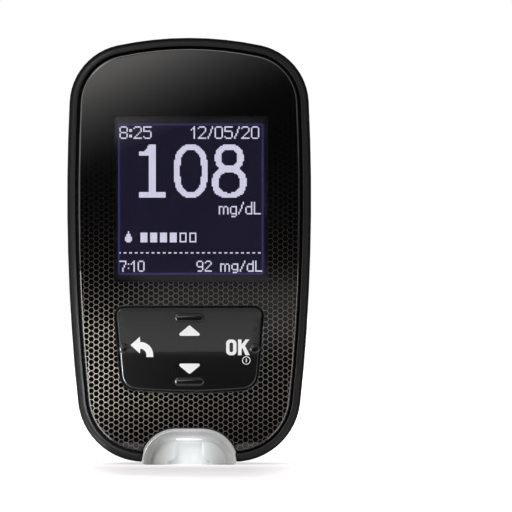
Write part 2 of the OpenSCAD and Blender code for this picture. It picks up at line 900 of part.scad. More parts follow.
module board_capacitors() color("#b08d57") {
    for (i = [0:capacitor_count - 1])
        chip(processor_x + (i - (capacitor_count - 1) / 2) * capacitor_pitch, capacitor_z, capacitor_size);
}

module piezo_sounder() color("#c9a227") {
    rod_y(piezo_x, piezo_z, piezo_r, y_board_in, y_board_in + piezo_t);
    rod_y(piezo_x, piezo_z, piezo_cap_r, y_board_in + piezo_t - join, y_board_in + piezo_t + piezo_cap_t);
}

module usb_shell() color("silver") {
    half = usb_w / 2;
    difference() {
        block([-half, y_board_in, usb_top - usb_l], [half, y_board_in + usb_t, usb_top]);
        block([usb_skin - half, y_board_in + usb_skin, usb_top - usb_l + usb_skin],
            [half - usb_skin, y_board_in + usb_t - usb_skin, usb_top + over]);
    }
}

module usb_tongue() color("#1a1a1a") {
    block([-tongue_half, y_board_in + tongue_rise, usb_top - usb_l + usb_skin],
        [tongue_half, y_board_in + tongue_rise + tongue_t, usb_top - over]);
}

// ---- power ----

module coin_cell(x) {
    rod_y(x, cell_z, cell_d / 2, y_cell + cap_t, y_cell_in);
    rod_y(x, cell_z, cap_r, y_cell, y_cell + cap_t + join);
}

module coin_cell_left() color("silver") {
    coin_cell(-cell_x);
}

module coin_cell_right() color("silver") {
    coin_cell(cell_x);
}

// Negative contacts: a sprung arch under each cell, with a leg down to the board
module cell_springs() color("gold") {
    foot = leaf_half - leaf_lip;
    for (side = [-1, 1]) translate([side * cell_x, 0, cell_z]) {
        translate([0, 0, -leaf_w / 2]) linear_extrude(leaf_w) difference() {
            polygon([
                [-leaf_half, y_bay], [leaf_half, y_bay], [leaf_half, y_bay + leaf_t],
                [leaf_crest, y_cell], [-leaf_crest, y_cell], [-leaf_half, y_bay + leaf_t]
            ]);
            polygon([
                [-foot, y_bay - over], [foot, y_bay - over], [foot, y_bay],
                [leaf_crest, y_cell - leaf_t], [-leaf_crest, y_cell - leaf_t], [-foot, y_bay]
            ]);
        }
        block([-leaf_half, y_board_in, -leaf_w / 2], [-leaf_half + leaf_t, y_bay + join, leaf_w / 2]);
    }
}

module cell_clip() color("gold") {
    reach = cell_x - sqrt(pow(cell_d / 2, 2) - pow(clip_z - cell_z, 2)) - fit;
    block([-reach, y_cell + clip_half, clip_z], [reach, y_cell_in - clip_inset, clip_z + clip_t]);
    block([-clip_half, y_board_in, clip_z], [clip_half, y_cell + clip_half + join, clip_z + clip_t]);
}

// ---- strip port and ejector ----

module strip_port() color("#e4e6e6") {
    lip_half = (port_lip - 0.05) / 2;
    difference() {
        union() {
            slab(y_port, y_port_in) port_outline();
            block([-port_block_half, y_wall_in + fit, port_shelf_z], [port_block_half, y_port_in, port_top_z]);
        }
        // three shallow steps that stand for the sloped band of the scoop
        slab(y_port - over, y_port + 2 * lip_half) scoop_outline(port_lip / 2);
        slab(y_port + lip_half, y_port + 4 * lip_half) scoop_outline(port_lip);
        slab(y_port + 3 * lip_half, y_scoop) scoop_outline(port_lip_in);
        slab(y_port - over, y_channel) channel_outline();
        block([join - channel_w / 2, y_slot, port_shelf_z - over],
            [channel_w / 2 - join, y_channel, port_top_z + over]);
        block([-tray_half, y_port - over, -over], [tray_half, y_port_in + over, tray_lift]);
    }
}

module scoop_outline(inset) {
    r = port_r - inset;
    half = port_half + r;
    polygon(concat(arc_points(port_half, port_z, r, 0, 90, 20), arc_points(-port_half, port_z, r, 90, 180, 20),
        [[-half, -over], [half, -over]]));
}

module channel_outline() {
    half = channel_w / 2;
    polygon(concat(
        [[half, port_shelf_z], [-half, port_shelf_z]],
        arc_points(-half - flare_r, flare_z, flare_r, 0, -90, 8),
        [[-half - flare_r, -over], [half + flare_r, -over]],
        arc_points(half + flare_r, flare_z, flare_r, 270, 180, 8)
    ));
}

module port_lamps() color("white") {
    for (side = [-1, 1])
        block([side * lamp_x - lamp_w / 2, y_board - lamp_h, board_z0 + usb_skin],
            [side * lamp_x + lamp_w / 2, y_board, board_z0 + usb_skin + lamp_h]);
}

module strip_connector() color("#d8d8d4") {
    half = connector_w / 2;
    difference() {
        block([-half, y_arm + arm_t + slide_fit, connector_z0], [half, y_board, connector_z1]);
        block([-channel_w / 2, y_slot, connector_z0 - over], [channel_w / 2, y_channel, connector_z1 + over]);
        block([-finger_half - finger_gap, y_arm, arm_z - eject_travel - finger_gap],
            [finger_half + finger_gap, y_slot + join, connector_z1 + over]);
        for (i = [0:contact_count - 1]) contact(i, fit);
    }
}

// One contact leaf; `grow` makes the groove that it lies in
module contact(i, grow = 0) {
    x = (i - (contact_count - 1) / 2) * contact_pitch;
    half = contact_w / 2 + grow;
    tail_z = connector_z1 - contact_drop;
    tail_y = grow > 0 ? y_board + over : y_board;
    block([x - half, y_channel - grow, contact_z0 - grow],
        [x + half, y_channel + contact_t + grow, tail_z + contact_t + grow]);
    block([x - half, y_channel, tail_z - grow], [x + half, tail_y, tail_z + contact_t + grow]);
}

module strip_contacts() color("gold") {
    for (i = [0:contact_count - 1]) contact(i);
}

module ejector_button() color("#3a3a3c") {
    y0 = y_button + slide_fit;
    y1 = y_button + wedge_t;
    ramp = leg_x + leg_w + ramp_z + slide_fit * sqrt(2);
    nib_x = leg_x + leg_w / 2;
    z0 = button_z0 + wedge_shrink;
    z1 = button_z1 - wedge_top;
    intersection() {
        block([button_x, y_button, button_z0], [body_w, y_button + button_w, button_z1]);
        body_solid(0, y_rim, y_seam + over);
    }
    slab(y0, y1)
        polygon([
            [button_x + join, z0], [button_x + join, z1],
            [nib_x, z1], [nib_x, ramp - nib_x], [ramp - z0, z0]
        ]);
    // catch behind the case wall that keeps the button in
    block([button_x - catch_t, y0, button_z1 - over], [button_x - join, y1, button_z1 + catch_h]);
    block([button_x - catch_t, y0, button_z1 - over], [button_x + join, y1, button_z1 - wedge_shrink]);
}

module ejector_slider() color("#e0e0dc") {
    x1 = leg_x + leg_w;
    difference() {
        slab(y_arm, y_wall_in + slider_t)
            polygon([[leg_x, leg_z], [x1, leg_z], [x1, ramp_z], [leg_x, ramp_z + leg_w]]);
        block([spring_x - slot_half, y_wall_in, slot_z0], [spring_x + slot_half, y_board, slot_z1]);
    }
    block([-finger_half, y_arm, arm_z], [leg_x + join, y_arm + arm_t, arm_z + arm_h]);
    block([-finger_half, y_arm, arm_z], [finger_half, y_channel - join, arm_z + arm_h]);
}

// Return spring between the peg on the case and the top of the slider's slot
module ejector_spring() color("silver") {
    sides = 6;
    rings = 12;
    slack = 0.02;
    wire_r = spring_wire / 2;
    coil_r = spring_r - wire_r;
    z0 = spring_z0 + wire_r + slack;
    rise = slot_z1 - spring_z0 - spring_wire - 2 * slack;
    count = spring_turns * rings;
    points = [
        for (i = [0:count]) let (a = 360 * i / rings)
            let (out = [cos(a), sin(a), 0], z = z0 + rise * i / count)
            for (s = [0:sides - 1]) let (b = 360 * s / sides)
                [spring_x, spring_y, z] + (coil_r + wire_r * cos(b)) * out + [0, 0, wire_r * sin(b)]
    ];
    walls = [
        for (i = [0:count - 1]) for (s = [0:sides - 1])
            let (a = i * sides + s, b = i * sides + (s + 1) % sides)
            each [[a, b, b + sides], [a, b + sides, a + sides]]
    ];
    ends = [[for (s = [sides - 1:-1:0]) s], [for (s = [0:sides - 1]) count * sides + s]];
    polyhedron(points, concat(walls, ends));
}

front_case();
rear_case();
face_plate();
display_window();
display_frame();
lcd_panel();
lcd_backlight();
lcd_tray();
lcd_flex();
key_plate();
keypad_pad();
keypad_frame();
dome_switches();
main_board();
processor();
memory_chip();
radio_module();
clock_crystal();
board_capacitors();
piezo_sounder();
strip_port();
port_lamps();
strip_connector();
strip_contacts();
ejector_button();
ejector_slider();
ejector_spring();
usb_shell();
usb_tongue();
coin_cell_left();
coin_cell_right();
cell_springs();
cell_clip();
battery_door();
case_screws();
rear_label();
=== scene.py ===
"""Handheld blood glucose meter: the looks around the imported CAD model.

Lengths here are millimetres until a mesh is built, and every piece sits where the CAD model has it.
X runs across the width, +Z up the body, and the screen faces -Y.
"""

import json
from math import atan2, cos, degrees, hypot, radians, sin, sqrt

import bmesh
import bpy
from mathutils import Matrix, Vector, geometry
from mathutils.bvhtree import BVHTree


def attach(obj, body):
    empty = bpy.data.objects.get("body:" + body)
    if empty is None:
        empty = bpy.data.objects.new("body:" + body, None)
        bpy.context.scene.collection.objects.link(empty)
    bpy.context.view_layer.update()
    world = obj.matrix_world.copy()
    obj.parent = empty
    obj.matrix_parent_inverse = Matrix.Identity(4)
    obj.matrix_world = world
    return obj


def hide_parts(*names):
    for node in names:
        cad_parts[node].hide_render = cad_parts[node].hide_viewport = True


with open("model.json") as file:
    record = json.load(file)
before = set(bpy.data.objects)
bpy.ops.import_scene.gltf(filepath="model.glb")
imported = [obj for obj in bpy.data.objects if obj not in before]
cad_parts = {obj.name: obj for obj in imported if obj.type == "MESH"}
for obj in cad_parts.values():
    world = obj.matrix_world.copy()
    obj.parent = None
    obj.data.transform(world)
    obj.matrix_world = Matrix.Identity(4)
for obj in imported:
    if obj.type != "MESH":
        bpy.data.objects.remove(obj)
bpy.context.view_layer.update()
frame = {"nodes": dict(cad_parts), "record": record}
nodes = frame["nodes"]
record = frame["record"]
node_body = {n: body for body, names in record["behaviour"]["bodies"].items() for n in names}
node_slot = {s["node"]: s["material_slot"] for s in record["subparts"]}
scene = bpy.context.scene
MM = 0.001

# ---- sizes that the pieces share with the CAD model ----

Y_BUMP, Y_KEY, Y_PLATE_IN, Y_KEY_IN, Y_PANEL = -10.0, -9.65, -8.3, -8.25, -7.1
KEY_Z, KEY_H, KEY_TOP_W, KEY_BOTTOM_W = 22.0, 16.0, 27.8, 25.8
KEY_TOP_R, KEY_BOTTOM_R, KEY_BOW_R, KEY_BOW = 1.5, 2.9, 110.0, 0.45
PICTURE_W, PICTURE_H, PICTURE_X, PICTURE_Z = 27.8, 28.9, 0.3, 50.7
PORT_HALF, PORT_R, PORT_Z, Y_PORT, Y_PORT_IN = 2.6, 6.4, 0.15, -9.4, -3.5

COLUMNS, ROWS = 104, 108  # dots of the screen
DOT = PICTURE_W / COLUMNS


# ---- material tools ----

SMOOTH = {"interpolation_type": "SMOOTHSTEP"}
RGBA = {"data_type": "RGBA", "out": 2}
CLOUD_MM = 9.0  # the slow drift of colour in a moulding


def colour(hexa):
    """An sRGB hex value as linear RGBA."""
    parts = [int(hexa[i : i + 2], 16) / 255 for i in (1, 3, 5)]
    return [c / 12.92 if c <= 0.04045 else ((c + 0.055) / 1.055) ** 2.4 for c in parts] + [1.0]


class Nodes:
    """A node tree, built by one function."""

    def __init__(self, tree):
        self.tree = tree

    def add(self, kind, *values, out=0, **settings):
        """Adds a node with its settings and links, and gives one of its outputs, or several.

        Values go to its inputs in order, or by name or number from a dictionary. A hex value is a
        colour. A shader node's kind is named without its prefix.
        """
        made = self.tree.nodes.new(kind if "Node" in kind else "ShaderNode" + kind)
        for key, value in settings.items():
            setattr(made, key, value)
        pairs = values[0].items() if values and isinstance(values[0], dict) else enumerate(values)
        for socket, value in pairs:
            if isinstance(value, bpy.types.NodeSocket):
                self.tree.links.new(value, made.inputs[socket])
            else:
                made.inputs[socket].default_value = colour(value) if isinstance(value, str) else value
        return [made.outputs[name] for name in out] if isinstance(out, tuple) else made.outputs[out]


class Finish(Nodes):
    """A node material around one Principled shader."""

    def __init__(self, name, base, roughness, **sockets):
        self.material = bpy.data.materials.new(name)
        self.material.use_nodes = True
        super().__init__(self.material.node_tree)
        self.shader = self.tree.nodes["Principled BSDF"]
        self.shader.inputs["Base Color"].default_value = colour(base)
        self.shader.inputs["Roughness"].default_value = roughness
        for socket, value in sockets.items():
            self.shader.inputs[socket.replace("_", " ")].default_value = value

    def link(self, output, socket):
        self.tree.links.new(output, self.shader.inputs[socket])

    def place_mm(self, stretch=(1, 1, 1)):
        """Object coordinates in millimetres."""
        place = self.add("TexCoord", out="Object")
        return self.add("Mapping", {"Vector": place, "Scale": [s / MM for s in stretch]})


def moulded(name, dark, light, roughness, grain_mm=0.3, depth_mm=0.004, **sockets):
    """Injection-moulded plastic: a fine eroded grain and a faint cloud of colour."""
    f = Finish(name, light, roughness, **sockets)
    grain = f.add("TexNoise", {"Vector": f.place_mm(), "Scale": 1 / grain_mm, "Detail": 2.0})
    cloud = f.add("TexNoise", {"Vector": f.place_mm(), "Scale": 1 / CLOUD_MM, "Detail": 1.0})
    f.link(f.add("Bump", {"Height": grain, "Distance": depth_mm * MM}), "Normal")
    f.link(f.add("MapRange", grain, 0.0, 1.0, roughness - 0.06, roughness + 0.06), "Roughness")
    f.link(f.add("Mix", {0: cloud, 6: dark, 7: light}, **RGBA), "Base Color")
    return f.material


def metal(name, dark, light, roughness, brush=(1, 1, 1), grain_mm=0.1, depth_mm=0.0008):
    """Bare or plated metal with a fine rolled grain."""
    f = Finish(name, light, roughness, Metallic=1.0)
    grain = f.add("TexNoise", {"Vector": f.place_mm(brush), "Scale": 1 / grain_mm, "Detail": 2.0})
    f.link(f.add("Bump", {"Height": grain, "Distance": depth_mm * MM}), "Normal")
    f.link(f.add("MapRange", grain, 0.0, 1.0, roughness - 0.06, roughness + 0.08), "Roughness")
    f.link(f.add("Mix", {0: grain, 6: dark, 7: light}, **RGBA), "Base Color")
    return f.material


# ---- the honeycomb print on the face panel ----

HEX_R = 0.633  # centre to corner; the cells' flat sides lie top and bottom
HEX_APOTHEM = HEX_R * sqrt(3) / 2
HEX_LINE = 0.13  # width of a printed line
HEX_START = (0.309, 0.0, 0.931)  # the middle of one cell


def hexagon_distance(f, place):
    """Distance from the centre of the cell that a point lies in, measured square to the cell's sides."""
    half = Vector((1.5 * HEX_R, 1.0, HEX_APOTHEM))
    found = []
    for shift in (Vector(HEX_START), Vector(HEX_START) + half):
        moved = f.add("VectorMath", place, shift, operation="SUBTRACT")
        cell = f.add("VectorMath", moved, half, -half, operation="WRAP")
        size = f.add("VectorMath", cell, operation="ABSOLUTE")
        x, z = f.add("SeparateXYZ", size, out=("X", "Z"))
        across = f.add("Math", x, cos(radians(30)), operation="MULTIPLY")
        up = f.add("Math", z, sin(radians(30)), operation="MULTIPLY")
        slanted = f.add("Math", across, up, operation="ADD")
        found.append(f.add("Math", slanted, z, operation="MAXIMUM"))
    return f.add("Math", *found, operation="MINIMUM")


def printed_panel():
    """Black acrylic, back-printed with a metallic honeycomb that fades out up the panel.

    The clear gloss skin is the coat; the ink under it is a soft taupe metal. A lighter metallic band on
    the bevel at the panel's sides and foot is a painted highlight of that edge.
    """
    f = Finish(
        "acrylic_panel_back_printed", "#060607", 0.36, Coat_Weight=1.0, Coat_Roughness=0.03, IOR=1.49,
        Specular_IOR_Level=0.0,
    )
    place = f.place_mm()
    x, height = f.add("SeparateXYZ", place, out=("X", "Z"))
    distance = hexagon_distance(f, place)
    edge = HEX_APOTHEM - HEX_LINE / 2
    line = f.add("MapRange", distance, edge - 0.04, edge + 0.025, 0.0, 1.0, **SMOOTH)
    # dot: a faint lighter spot in the middle of each cell, painted shading that stands in for a shallow
    # dimple there.
    dot = f.add("MapRange", distance, 0.04, 0.14, 0.035, 0.0, **SMOOTH)

    fade = f.add("Math", f.add("MapRange", height, 26.0, 60.8, 0.0, -4.0), operation="EXPONENT")
    fade = f.add("Math", fade, 1.0, operation="MINIMUM")
    fade = f.add("Math", fade, f.add("MapRange", height, 4.0, 12.0, 0.5, 1.0), operation="MULTIPLY")

    # Painted highlight: where the shading normal tilts on the bevel at the sides and foot, a lighter
    # metallic band is laid on as a bright edge line.
    normal = f.add("TexCoord", out="Normal")
    facing = f.add("Math", f.add("SeparateXYZ", normal, out="Y"), operation="ABSOLUTE")
    bevel = f.add("MapRange", facing, 0.72, 0.97, 0.3, 0.0, **SMOOTH)
    side = f.add("MapRange", f.add("Math", x, operation="ABSOLUTE"), 15.6, 16.2, 0.0, 1.0)
    foot = f.add("MapRange", height, 11.0, 13.0, 1.0, 0.0)
    painted_edge_highlight = f.add("Math", side, foot, operation="MAXIMUM")
    bevel = f.add("Math", bevel, painted_edge_highlight, operation="MULTIPLY")

    ink = f.add("Math", f.add("Math", line, bevel, operation="MAXIMUM"), fade, operation="MULTIPLY")
    seen = f.add("Math", ink, f.add("Math", dot, fade, operation="MULTIPLY"), operation="MAXIMUM")
    f.link(f.add("Mix", {0: seen, 6: "#060607", 7: "#645f58"}, **RGBA), "Base Color")
    f.link(f.add("Math", ink, 0.6, operation="MULTIPLY"), "Metallic")
    f.link(f.add("MapRange", ink, 0.0, 1.0, 0.34, 0.4), "Roughness")
    return f.material


# ---- the other finishes ----


def rim_plastic():
    """Satin black front case, duller in the narrow groove beside the panel, and darkened there as painted
    shade.
    """
    f = Finish("abs_satin_moulded", "#1b1b1c", 0.4, IOR=1.52, Specular_IOR_Level=0.14)
    deep = f.add("SeparateXYZ", f.place_mm(), out="Y")
    # The groove mask marks where shade is painted in, and where the roughness rises.
    mouth = f.add("MapRange", deep, -9.1, -8.9, 0.0, 1.0)
    groove = f.add("Math", mouth, f.add("MapRange", deep, -8.1, -7.9, 1.0, 0.0), operation="MULTIPLY")
    grain = f.add("TexNoise", {"Vector": f.place_mm(), "Scale": 1 / 0.18, "Detail": 2.0})
    cloud = f.add("TexNoise", {"Vector": f.place_mm(), "Scale": 1 / CLOUD_MM, "Detail": 1.0})
    f.link(f.add("Bump", {"Height": grain, "Distance": 0.0025 * MM}), "Normal")
    satin = f.add("MapRange", grain, 0.0, 1.0, 0.34, 0.46)
    dull = f.add("Math", groove, 0.9, operation="MULTIPLY")
    f.link(f.add("Math", satin, dull, operation="MAXIMUM"), "Roughness")
    plain = f.add("Mix", {0: cloud, 6: "#161617", 7: "#1b1b1c"}, **RGBA)
    # Painted shade: the colour goes near black deep beside the panel.
    f.link(f.add("Mix", {0: groove, 6: plain, 7: "#020202"}, **RGBA), "Base Color")
    return f.material


def gloss_black(name, base, roughness):
    """High-gloss black moulding: clear coat over black, with the faintest orange peel."""
    f = Finish(
        name, base, 0.25, Coat_Weight=1.0, Coat_Roughness=roughness, IOR=1.5, Specular_IOR_Level=0.05
    )
    peel = f.add("TexNoise", {"Vector": f.place_mm(), "Scale": 1 / 2.5, "Detail": 1.0})
    f.link(f.add("Bump", {"Height": peel, "Distance": 0.0015 * MM}), "Normal")
    f.link(f.add("MapRange", peel, 0.0, 1.0, 0.22, 0.3), "Roughness")
    return f.material


def clear_pane():
    """Clear acrylic pane, polished and anti-reflection coated on both faces."""
    f = Finish(
        "acrylic_clear_coated", "#f4f4fa", 0.0, Transmission_Weight=1.0, IOR=1.49, Specular_IOR_Level=0.08
    )
    polish = f.add("TexNoise", {"Vector": f.place_mm(), "Scale": 1 / 6.0, "Detail": 1.0})
    f.link(f.add("MapRange", polish, 0.0, 1.0, 0.0, 0.015), "Roughness")
    return f.material


def past_picture(f, start, ends, **settings):
    """0 inside the picture's edge and 1 past it, from start to an end for each axis."""
    masks = []
    sides = zip(
        f.add("SeparateXYZ", f.place_mm(), out=("X", "Z")), (PICTURE_X, PICTURE_Z),
        (PICTURE_W / 2, PICTURE_H / 2), ends,
    )
    for value, middle, half, end in sides:
        away = f.add("Math", f.add("Math", value, middle, operation="SUBTRACT"), operation="ABSOLUTE")
        masks.append(f.add("MapRange", away, half + start, half + end, 0.0, 1.0, **settings))
    return f.add("Math", *masks, operation="MAXIMUM")


def bezel_plastic():
    """Satin black bezel with painted shade: lighter next to the picture, darker outward, and near black in
    the gap beside the panel.
    """
    f = Finish("abs_satin_bezel", "#1f211f", 0.45, Specular_IOR_Level=0.25)
    gap = past_picture(f, 0.0, (0.7, 1.3))
    # Painted shade: the sloping bezel darkens away from the picture, and the gap beside the panel is
    # painted near black.
    slope = f.add("MapRange", gap, 0.0, 0.8, 0.0, 1.0)
    painted_slope_shade = f.add("Mix", {0: slope, 6: "#262826", 7: "#151615"}, **RGBA)
    dark = f.add("MapRange", gap, 0.72, 0.78, 0.0, 1.0)
    f.link(f.add("Mix", {0: dark, 6: painted_slope_shade, 7: "#020202"}, **RGBA), "Base Color")
    grain = f.add("TexNoise", {"Vector": f.place_mm(), "Scale": 1 / 0.2, "Detail": 2.0})
    f.link(f.add("Bump", {"Height": grain, "Distance": 0.003 * MM}), "Normal")
    return f.material


def lit_screen():
    """Negative dot-matrix glass: dim indigo ground, a fainter grid between dots and a lighter edge."""
    f = Finish("lcd_glass_lit_ground", "#0b0a12", 0.3, Emission_Strength=1.0, Specular_IOR_Level=0.04)
    border = past_picture(f, -0.42, (-0.3, -0.3), **SMOOTH)
    cell = f.add("VectorMath", f.place_mm(), (DOT, 1.0, DOT), (0, 0, 0), operation="WRAP")
    grid = f.add("Math", *f.add("SeparateXYZ", cell, out=("X", "Z")), operation="MINIMUM")
    line = f.add("MapRange", grid, 0.0, 0.05, 1.0, 0.0)
    ground = f.add("Mix", {0: line, 6: "#1a1826", 7: "#211f34"}, **RGBA)
    f.link(f.add("Mix", {0: border, 6: ground, 7: "#35325e"}, **RGBA), "Emission Color")
    return f.material


def lit_dots():
    """Lit dots of the screen: pale lavender."""
    f = Finish("lcd_dots_lit", "#1a1a20", 0.5, Emission_Strength=1.08, Specular_IOR_Level=0.04)
    cloud = f.add("TexNoise", {"Vector": f.place_mm(), "Scale": 1 / 4.0, "Detail": 1.0})
    f.link(f.add("Mix", {0: cloud, 6: "#d9d7ea", 7: "#e2e0f0"}, **RGBA), "Emission Color")
    return f.material


def milky_port():
    """Frosted white polycarbonate, with the port lamps' light through it painted on as a glow: brightest
    over the middle.
    """
    f = Finish(
        "polycarbonate_milky", "#bcbdba", 0.25, Subsurface_Weight=0.2, Subsurface_Scale=0.0012,
        Subsurface_Radius=(1, 1, 1), Emission_Strength=0.46, IOR=1.58, Coat_Weight=0.5, Coat_Roughness=0.12,
        Specular_IOR_Level=0.3,
    )
    x, y, z = f.add("SeparateXYZ", f.place_mm(), out=("X", "Y", "Z"))
    # Painted glow: emission laid on the moulding, strongest over the middle and below the top band,
    # standing in for the lamps' light through it.
    across = f.add("MapRange", f.add("Math", x, operation="ABSOLUTE"), 0.5, 7.0, 1.0, 0.0, **SMOOTH)
    under = f.add("MapRange", z, 4.9, 5.9, 1.0, 0.3, **SMOOTH)
    inside = f.add("MapRange", y, -5.2, -3.8, 1.0, 0.85)
    lit = f.add("Math", f.add("Math", across, under, operation="MULTIPLY"), inside, operation="MULTIPLY")
    cloud = f.add("TexNoise", {"Vector": f.place_mm(), "Scale": 1 / 1.8, "Detail": 1.0})
    f.link(f.add("Mix", {0: cloud, 6: "#b8b9b6", 7: "#c0c1be"}, **RGBA), "Base Color")
    f.link(f.add("Mix", {0: lit, 6: "#000000", 7: "#f2f8fc"}, **RGBA), "Emission Color")
    f.link(f.add("MapRange", cloud, 0.0, 1.0, 0.22, 0.3), "Roughness")
    return f.material


def port_lamp():
    """Lens of the port lamps, also worn by the painted highlight bar on the port's ledge: a bright bar that
    dies away towards its ends.
    """
    f = Finish("lamp_lens_and_ledge_highlight", "#e8ecee", 0.3, Emission_Strength=1.3)
    shifted = f.add("Math", f.add("SeparateXYZ", f.place_mm(), out="X"), 0.7, operation="ADD")
    away = f.add("Math", shifted, operation="ABSOLUTE")
    along = f.add("MapRange", away, 0.6, 2.6, 1.0, 0.0, **SMOOTH)
    f.link(f.add("Mix", {0: along, 6: "#8c8e8e", 7: "#fbfdff"}, **RGBA), "Emission Color")
    frost = f.add("TexNoise", {"Vector": f.place_mm(), "Scale": 1 / 0.6, "Detail": 1.0})
    f.link(f.add("MapRange", frost, 0.0, 1.0, 0.26, 0.34), "Roughness")
    return f.material


def board_mask():
    """Glass-epoxy board under green solder mask, with copper tracks that show as lighter lines."""
    f = Finish("fr4_green_solder_mask", "#0f4a2c", 0.3, IOR=1.5)
    pattern = {"Vector": f.place_mm(), "Scale": 0.35, "Mortar Size": 0.03, "Bias": 0.2}
    tracks = f.add("TexBrick", pattern, out="Fac", offset=0.37)
    f.link(f.add("Mix", {0: tracks, 6: "#0e4428", 7: "#17633c"}, **RGBA), "Base Color")
    f.link(f.add("Bump", {"Height": tracks, "Distance": 0.01 * MM}), "Normal")
    return f.material


ERODED = {"grain_mm": 0.3, "depth_mm": 0.012, "IOR": 1.52, "Specular_IOR_Level": 0.35}
RIM_ABS = rim_plastic()
BACK_ABS = moulded("abs_matt_spark_eroded", "#161617", "#1c1c1d", 0.52, **ERODED)  # dull, near black
DOOR_ABS = moulded("abs_matt_door", "#171718", "#1d1d1e", 0.52, **ERODED)  # a shade paler than the back
FRAME_ABS = bezel_plastic()
BUTTON_ABS = moulded(  # satin dark grey, a little paler than the case
    "abs_satin_button", "#222223", "#29292a", 0.42, 0.2, 0.003, Specular_IOR_Level=0.35
)
TRAY_WHITE = moulded("polycarbonate_white_tray", "#dcdcd8", "#e6e6e2", 0.45)  # plain warm white
GUIDE_WHITE = moulded("acrylic_light_guide", "#e8e8e4", "#f2f2ee", 0.3, 0.5, 0.001)  # smooth bright white
CONNECTOR_LCP = moulded("lcp_connector", "#cfccc0", "#dad7cc", 0.5, 0.15, 0.003)  # dull cream
ACETAL = moulded("acetal_natural", "#dddcd4", "#e8e7e0", 0.38, 0.25, 0.002)  # waxy off-white
EPOXY = moulded("epoxy_chip_package", "#17171a", "#1f1f22", 0.55, 0.1, 0.003)  # sandy black
SILICONE = moulded("silicone_keypad", "#6e6e70", "#787879", 0.65, 0.4, 0.004)  # soft flat grey
LABEL_FILM = moulded("polyester_label_satin", "#3a3a3c", "#404042", 0.48, 0.6, 0.001)  # smooth satin grey
CERAMIC = moulded("ceramic_capacitor", "#9b7b52", "#ad8b60", 0.5, 0.12, 0.002)  # fired tan
FLEX_FILM = moulded("polyimide_flex", "#8f4f12", "#a86220", 0.32, 0.4, 0.001)  # shiny amber
PANEL = printed_panel()
KEY_GLOSS = gloss_black("abs_piano_black_keys", "#101011", 0.04)
PANE = clear_pane()
SCREEN = lit_screen()
DOTS = lit_dots()
PORT = milky_port()
LAMP_LENS_AND_HIGHLIGHT = port_lamp()
INK = moulded("ink_white_printed", "#ececec", "#f4f4f4", 0.45, 0.15, 0.0006)  # flat white print
STEEL = metal("steel_stainless_rolled", "#a8a9aa", "#cfd0d0", 0.28, (1, 1, 6))  # bright, fine lines
SCREW_STEEL = metal("steel_zinc_black_screw", "#5a5b5e", "#75767a", 0.35)  # smoky grey
GOLD = metal("phosphor_bronze_gold_plated", "#c89a3c", "#e2b95c", 0.25, (6, 1, 1))  # warm and bright
CAN = metal("tin_plated_can", "#b4b6b8", "#d2d4d6", 0.3)  # clean silver
BRASS = metal("brass_piezo_disc", "#b8944a", "#cfae62", 0.3)  # pale yellow
BOARD = board_mask()

CAD_FINISH = {
    "lcd_panel": SCREEN, "lcd_backlight": GUIDE_WHITE, "lcd_tray": TRAY_WHITE, "lcd_flex": FLEX_FILM,
    "keypad_pad": SILICONE, "keypad_frame": SILICONE, "dome_switches": STEEL, "main_board": BOARD,
    "processor": EPOXY, "memory_chip": EPOXY, "radio_module": CAN, "clock_crystal": CAN,
    "board_capacitors": CERAMIC, "piezo_sounder": BRASS, "port_lamps": LAMP_LENS_AND_HIGHLIGHT,
    "strip_connector": CONNECTOR_LCP, "strip_contacts": GOLD, "ejector_slider": ACETAL,
    "ejector_spring": STEEL, "usb_tongue": EPOXY, "cell_springs": GOLD, "cell_clip": GOLD,
}
for node_name, finish in CAD_FINISH.items():
    slots = nodes[node_name].data.materials
    slots.clear()
    slots.append(finish)


# ---- mesh tools ----


def arc(x, z, r, start, end, steps):
    """Points of an arc in X and Z, both ends included."""
    angles = [radians(start + (end - start) * i / steps) for i in range(steps + 1)]
    return [(x + r * cos(a), z + r * sin(a)) for a in angles]


def rounded(corners, grow=0.0, steps=10):
    """An outline of straight sides between round corners (x, z, r), anticlockwise, moved out by grow."""
    points = []
    count = len(corners)

    def turn(a, b):
        away = hypot(b[0] - a[0], b[1] - a[1])
        lean = degrees(atan2(b[1] - a[1], b[0] - a[0])) - 90
        ratio = (a[2] - b[2]) / away
        return lean + degrees(atan2(ratio, sqrt(1 - ratio * ratio)))

    for i, (x, z, r) in enumerate(corners):
        start = turn(corners[i - 1], corners[i])
        end = turn(corners[i], corners[(i + 1) % count])
        points += arc(x, z, r + grow, start, start + (end - start) % 360, steps)
    return points


def box_corners(x, z, w, h, r):
    """The round corners of a rectangle about x, z."""
    turns = ((1, -1), (1, 1), (-1, 1), (-1, -1))
    return [(x + sx * (w / 2 - r), z + sz * (h / 2 - r), r) for sx, sz in turns]


def make(name, verts, faces, finish, body, slot, replaces=(), sharp=35.0, turn_out=True):
    """A piece from vertices in millimetres, smooth but for its sharp edges."""
    mesh = bpy.data.meshes.new(name)
    mesh.from_pydata([Vector(v) * MM for v in verts], [], faces)
    return settle(name, mesh, finish, body, replaces, sharp, turn_out)


def settle(name, mesh, finish, body, replaces=(), sharp=35.0, turn_out=True):
    """Merges, shades and dresses a mesh, and lets it ride on its body."""
    bm = bmesh.new()
    bm.from_mesh(mesh)
    bmesh.ops.remove_doubles(bm, verts=bm.verts, dist=0.5e-6)
    if turn_out:
        bmesh.ops.recalc_face_normals(bm, faces=bm.faces)
    bm.to_mesh(mesh)
    bm.free()
    mesh.materials.clear()
    mesh.materials.append(finish)
    mesh.shade_smooth()
    mesh.set_sharp_from_angle(angle=radians(sharp))
    piece = bpy.data.objects.new(name, mesh)
    scene.collection.objects.link(piece)
    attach(piece, body)
    if replaces:
        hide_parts(*replaces)
    return piece


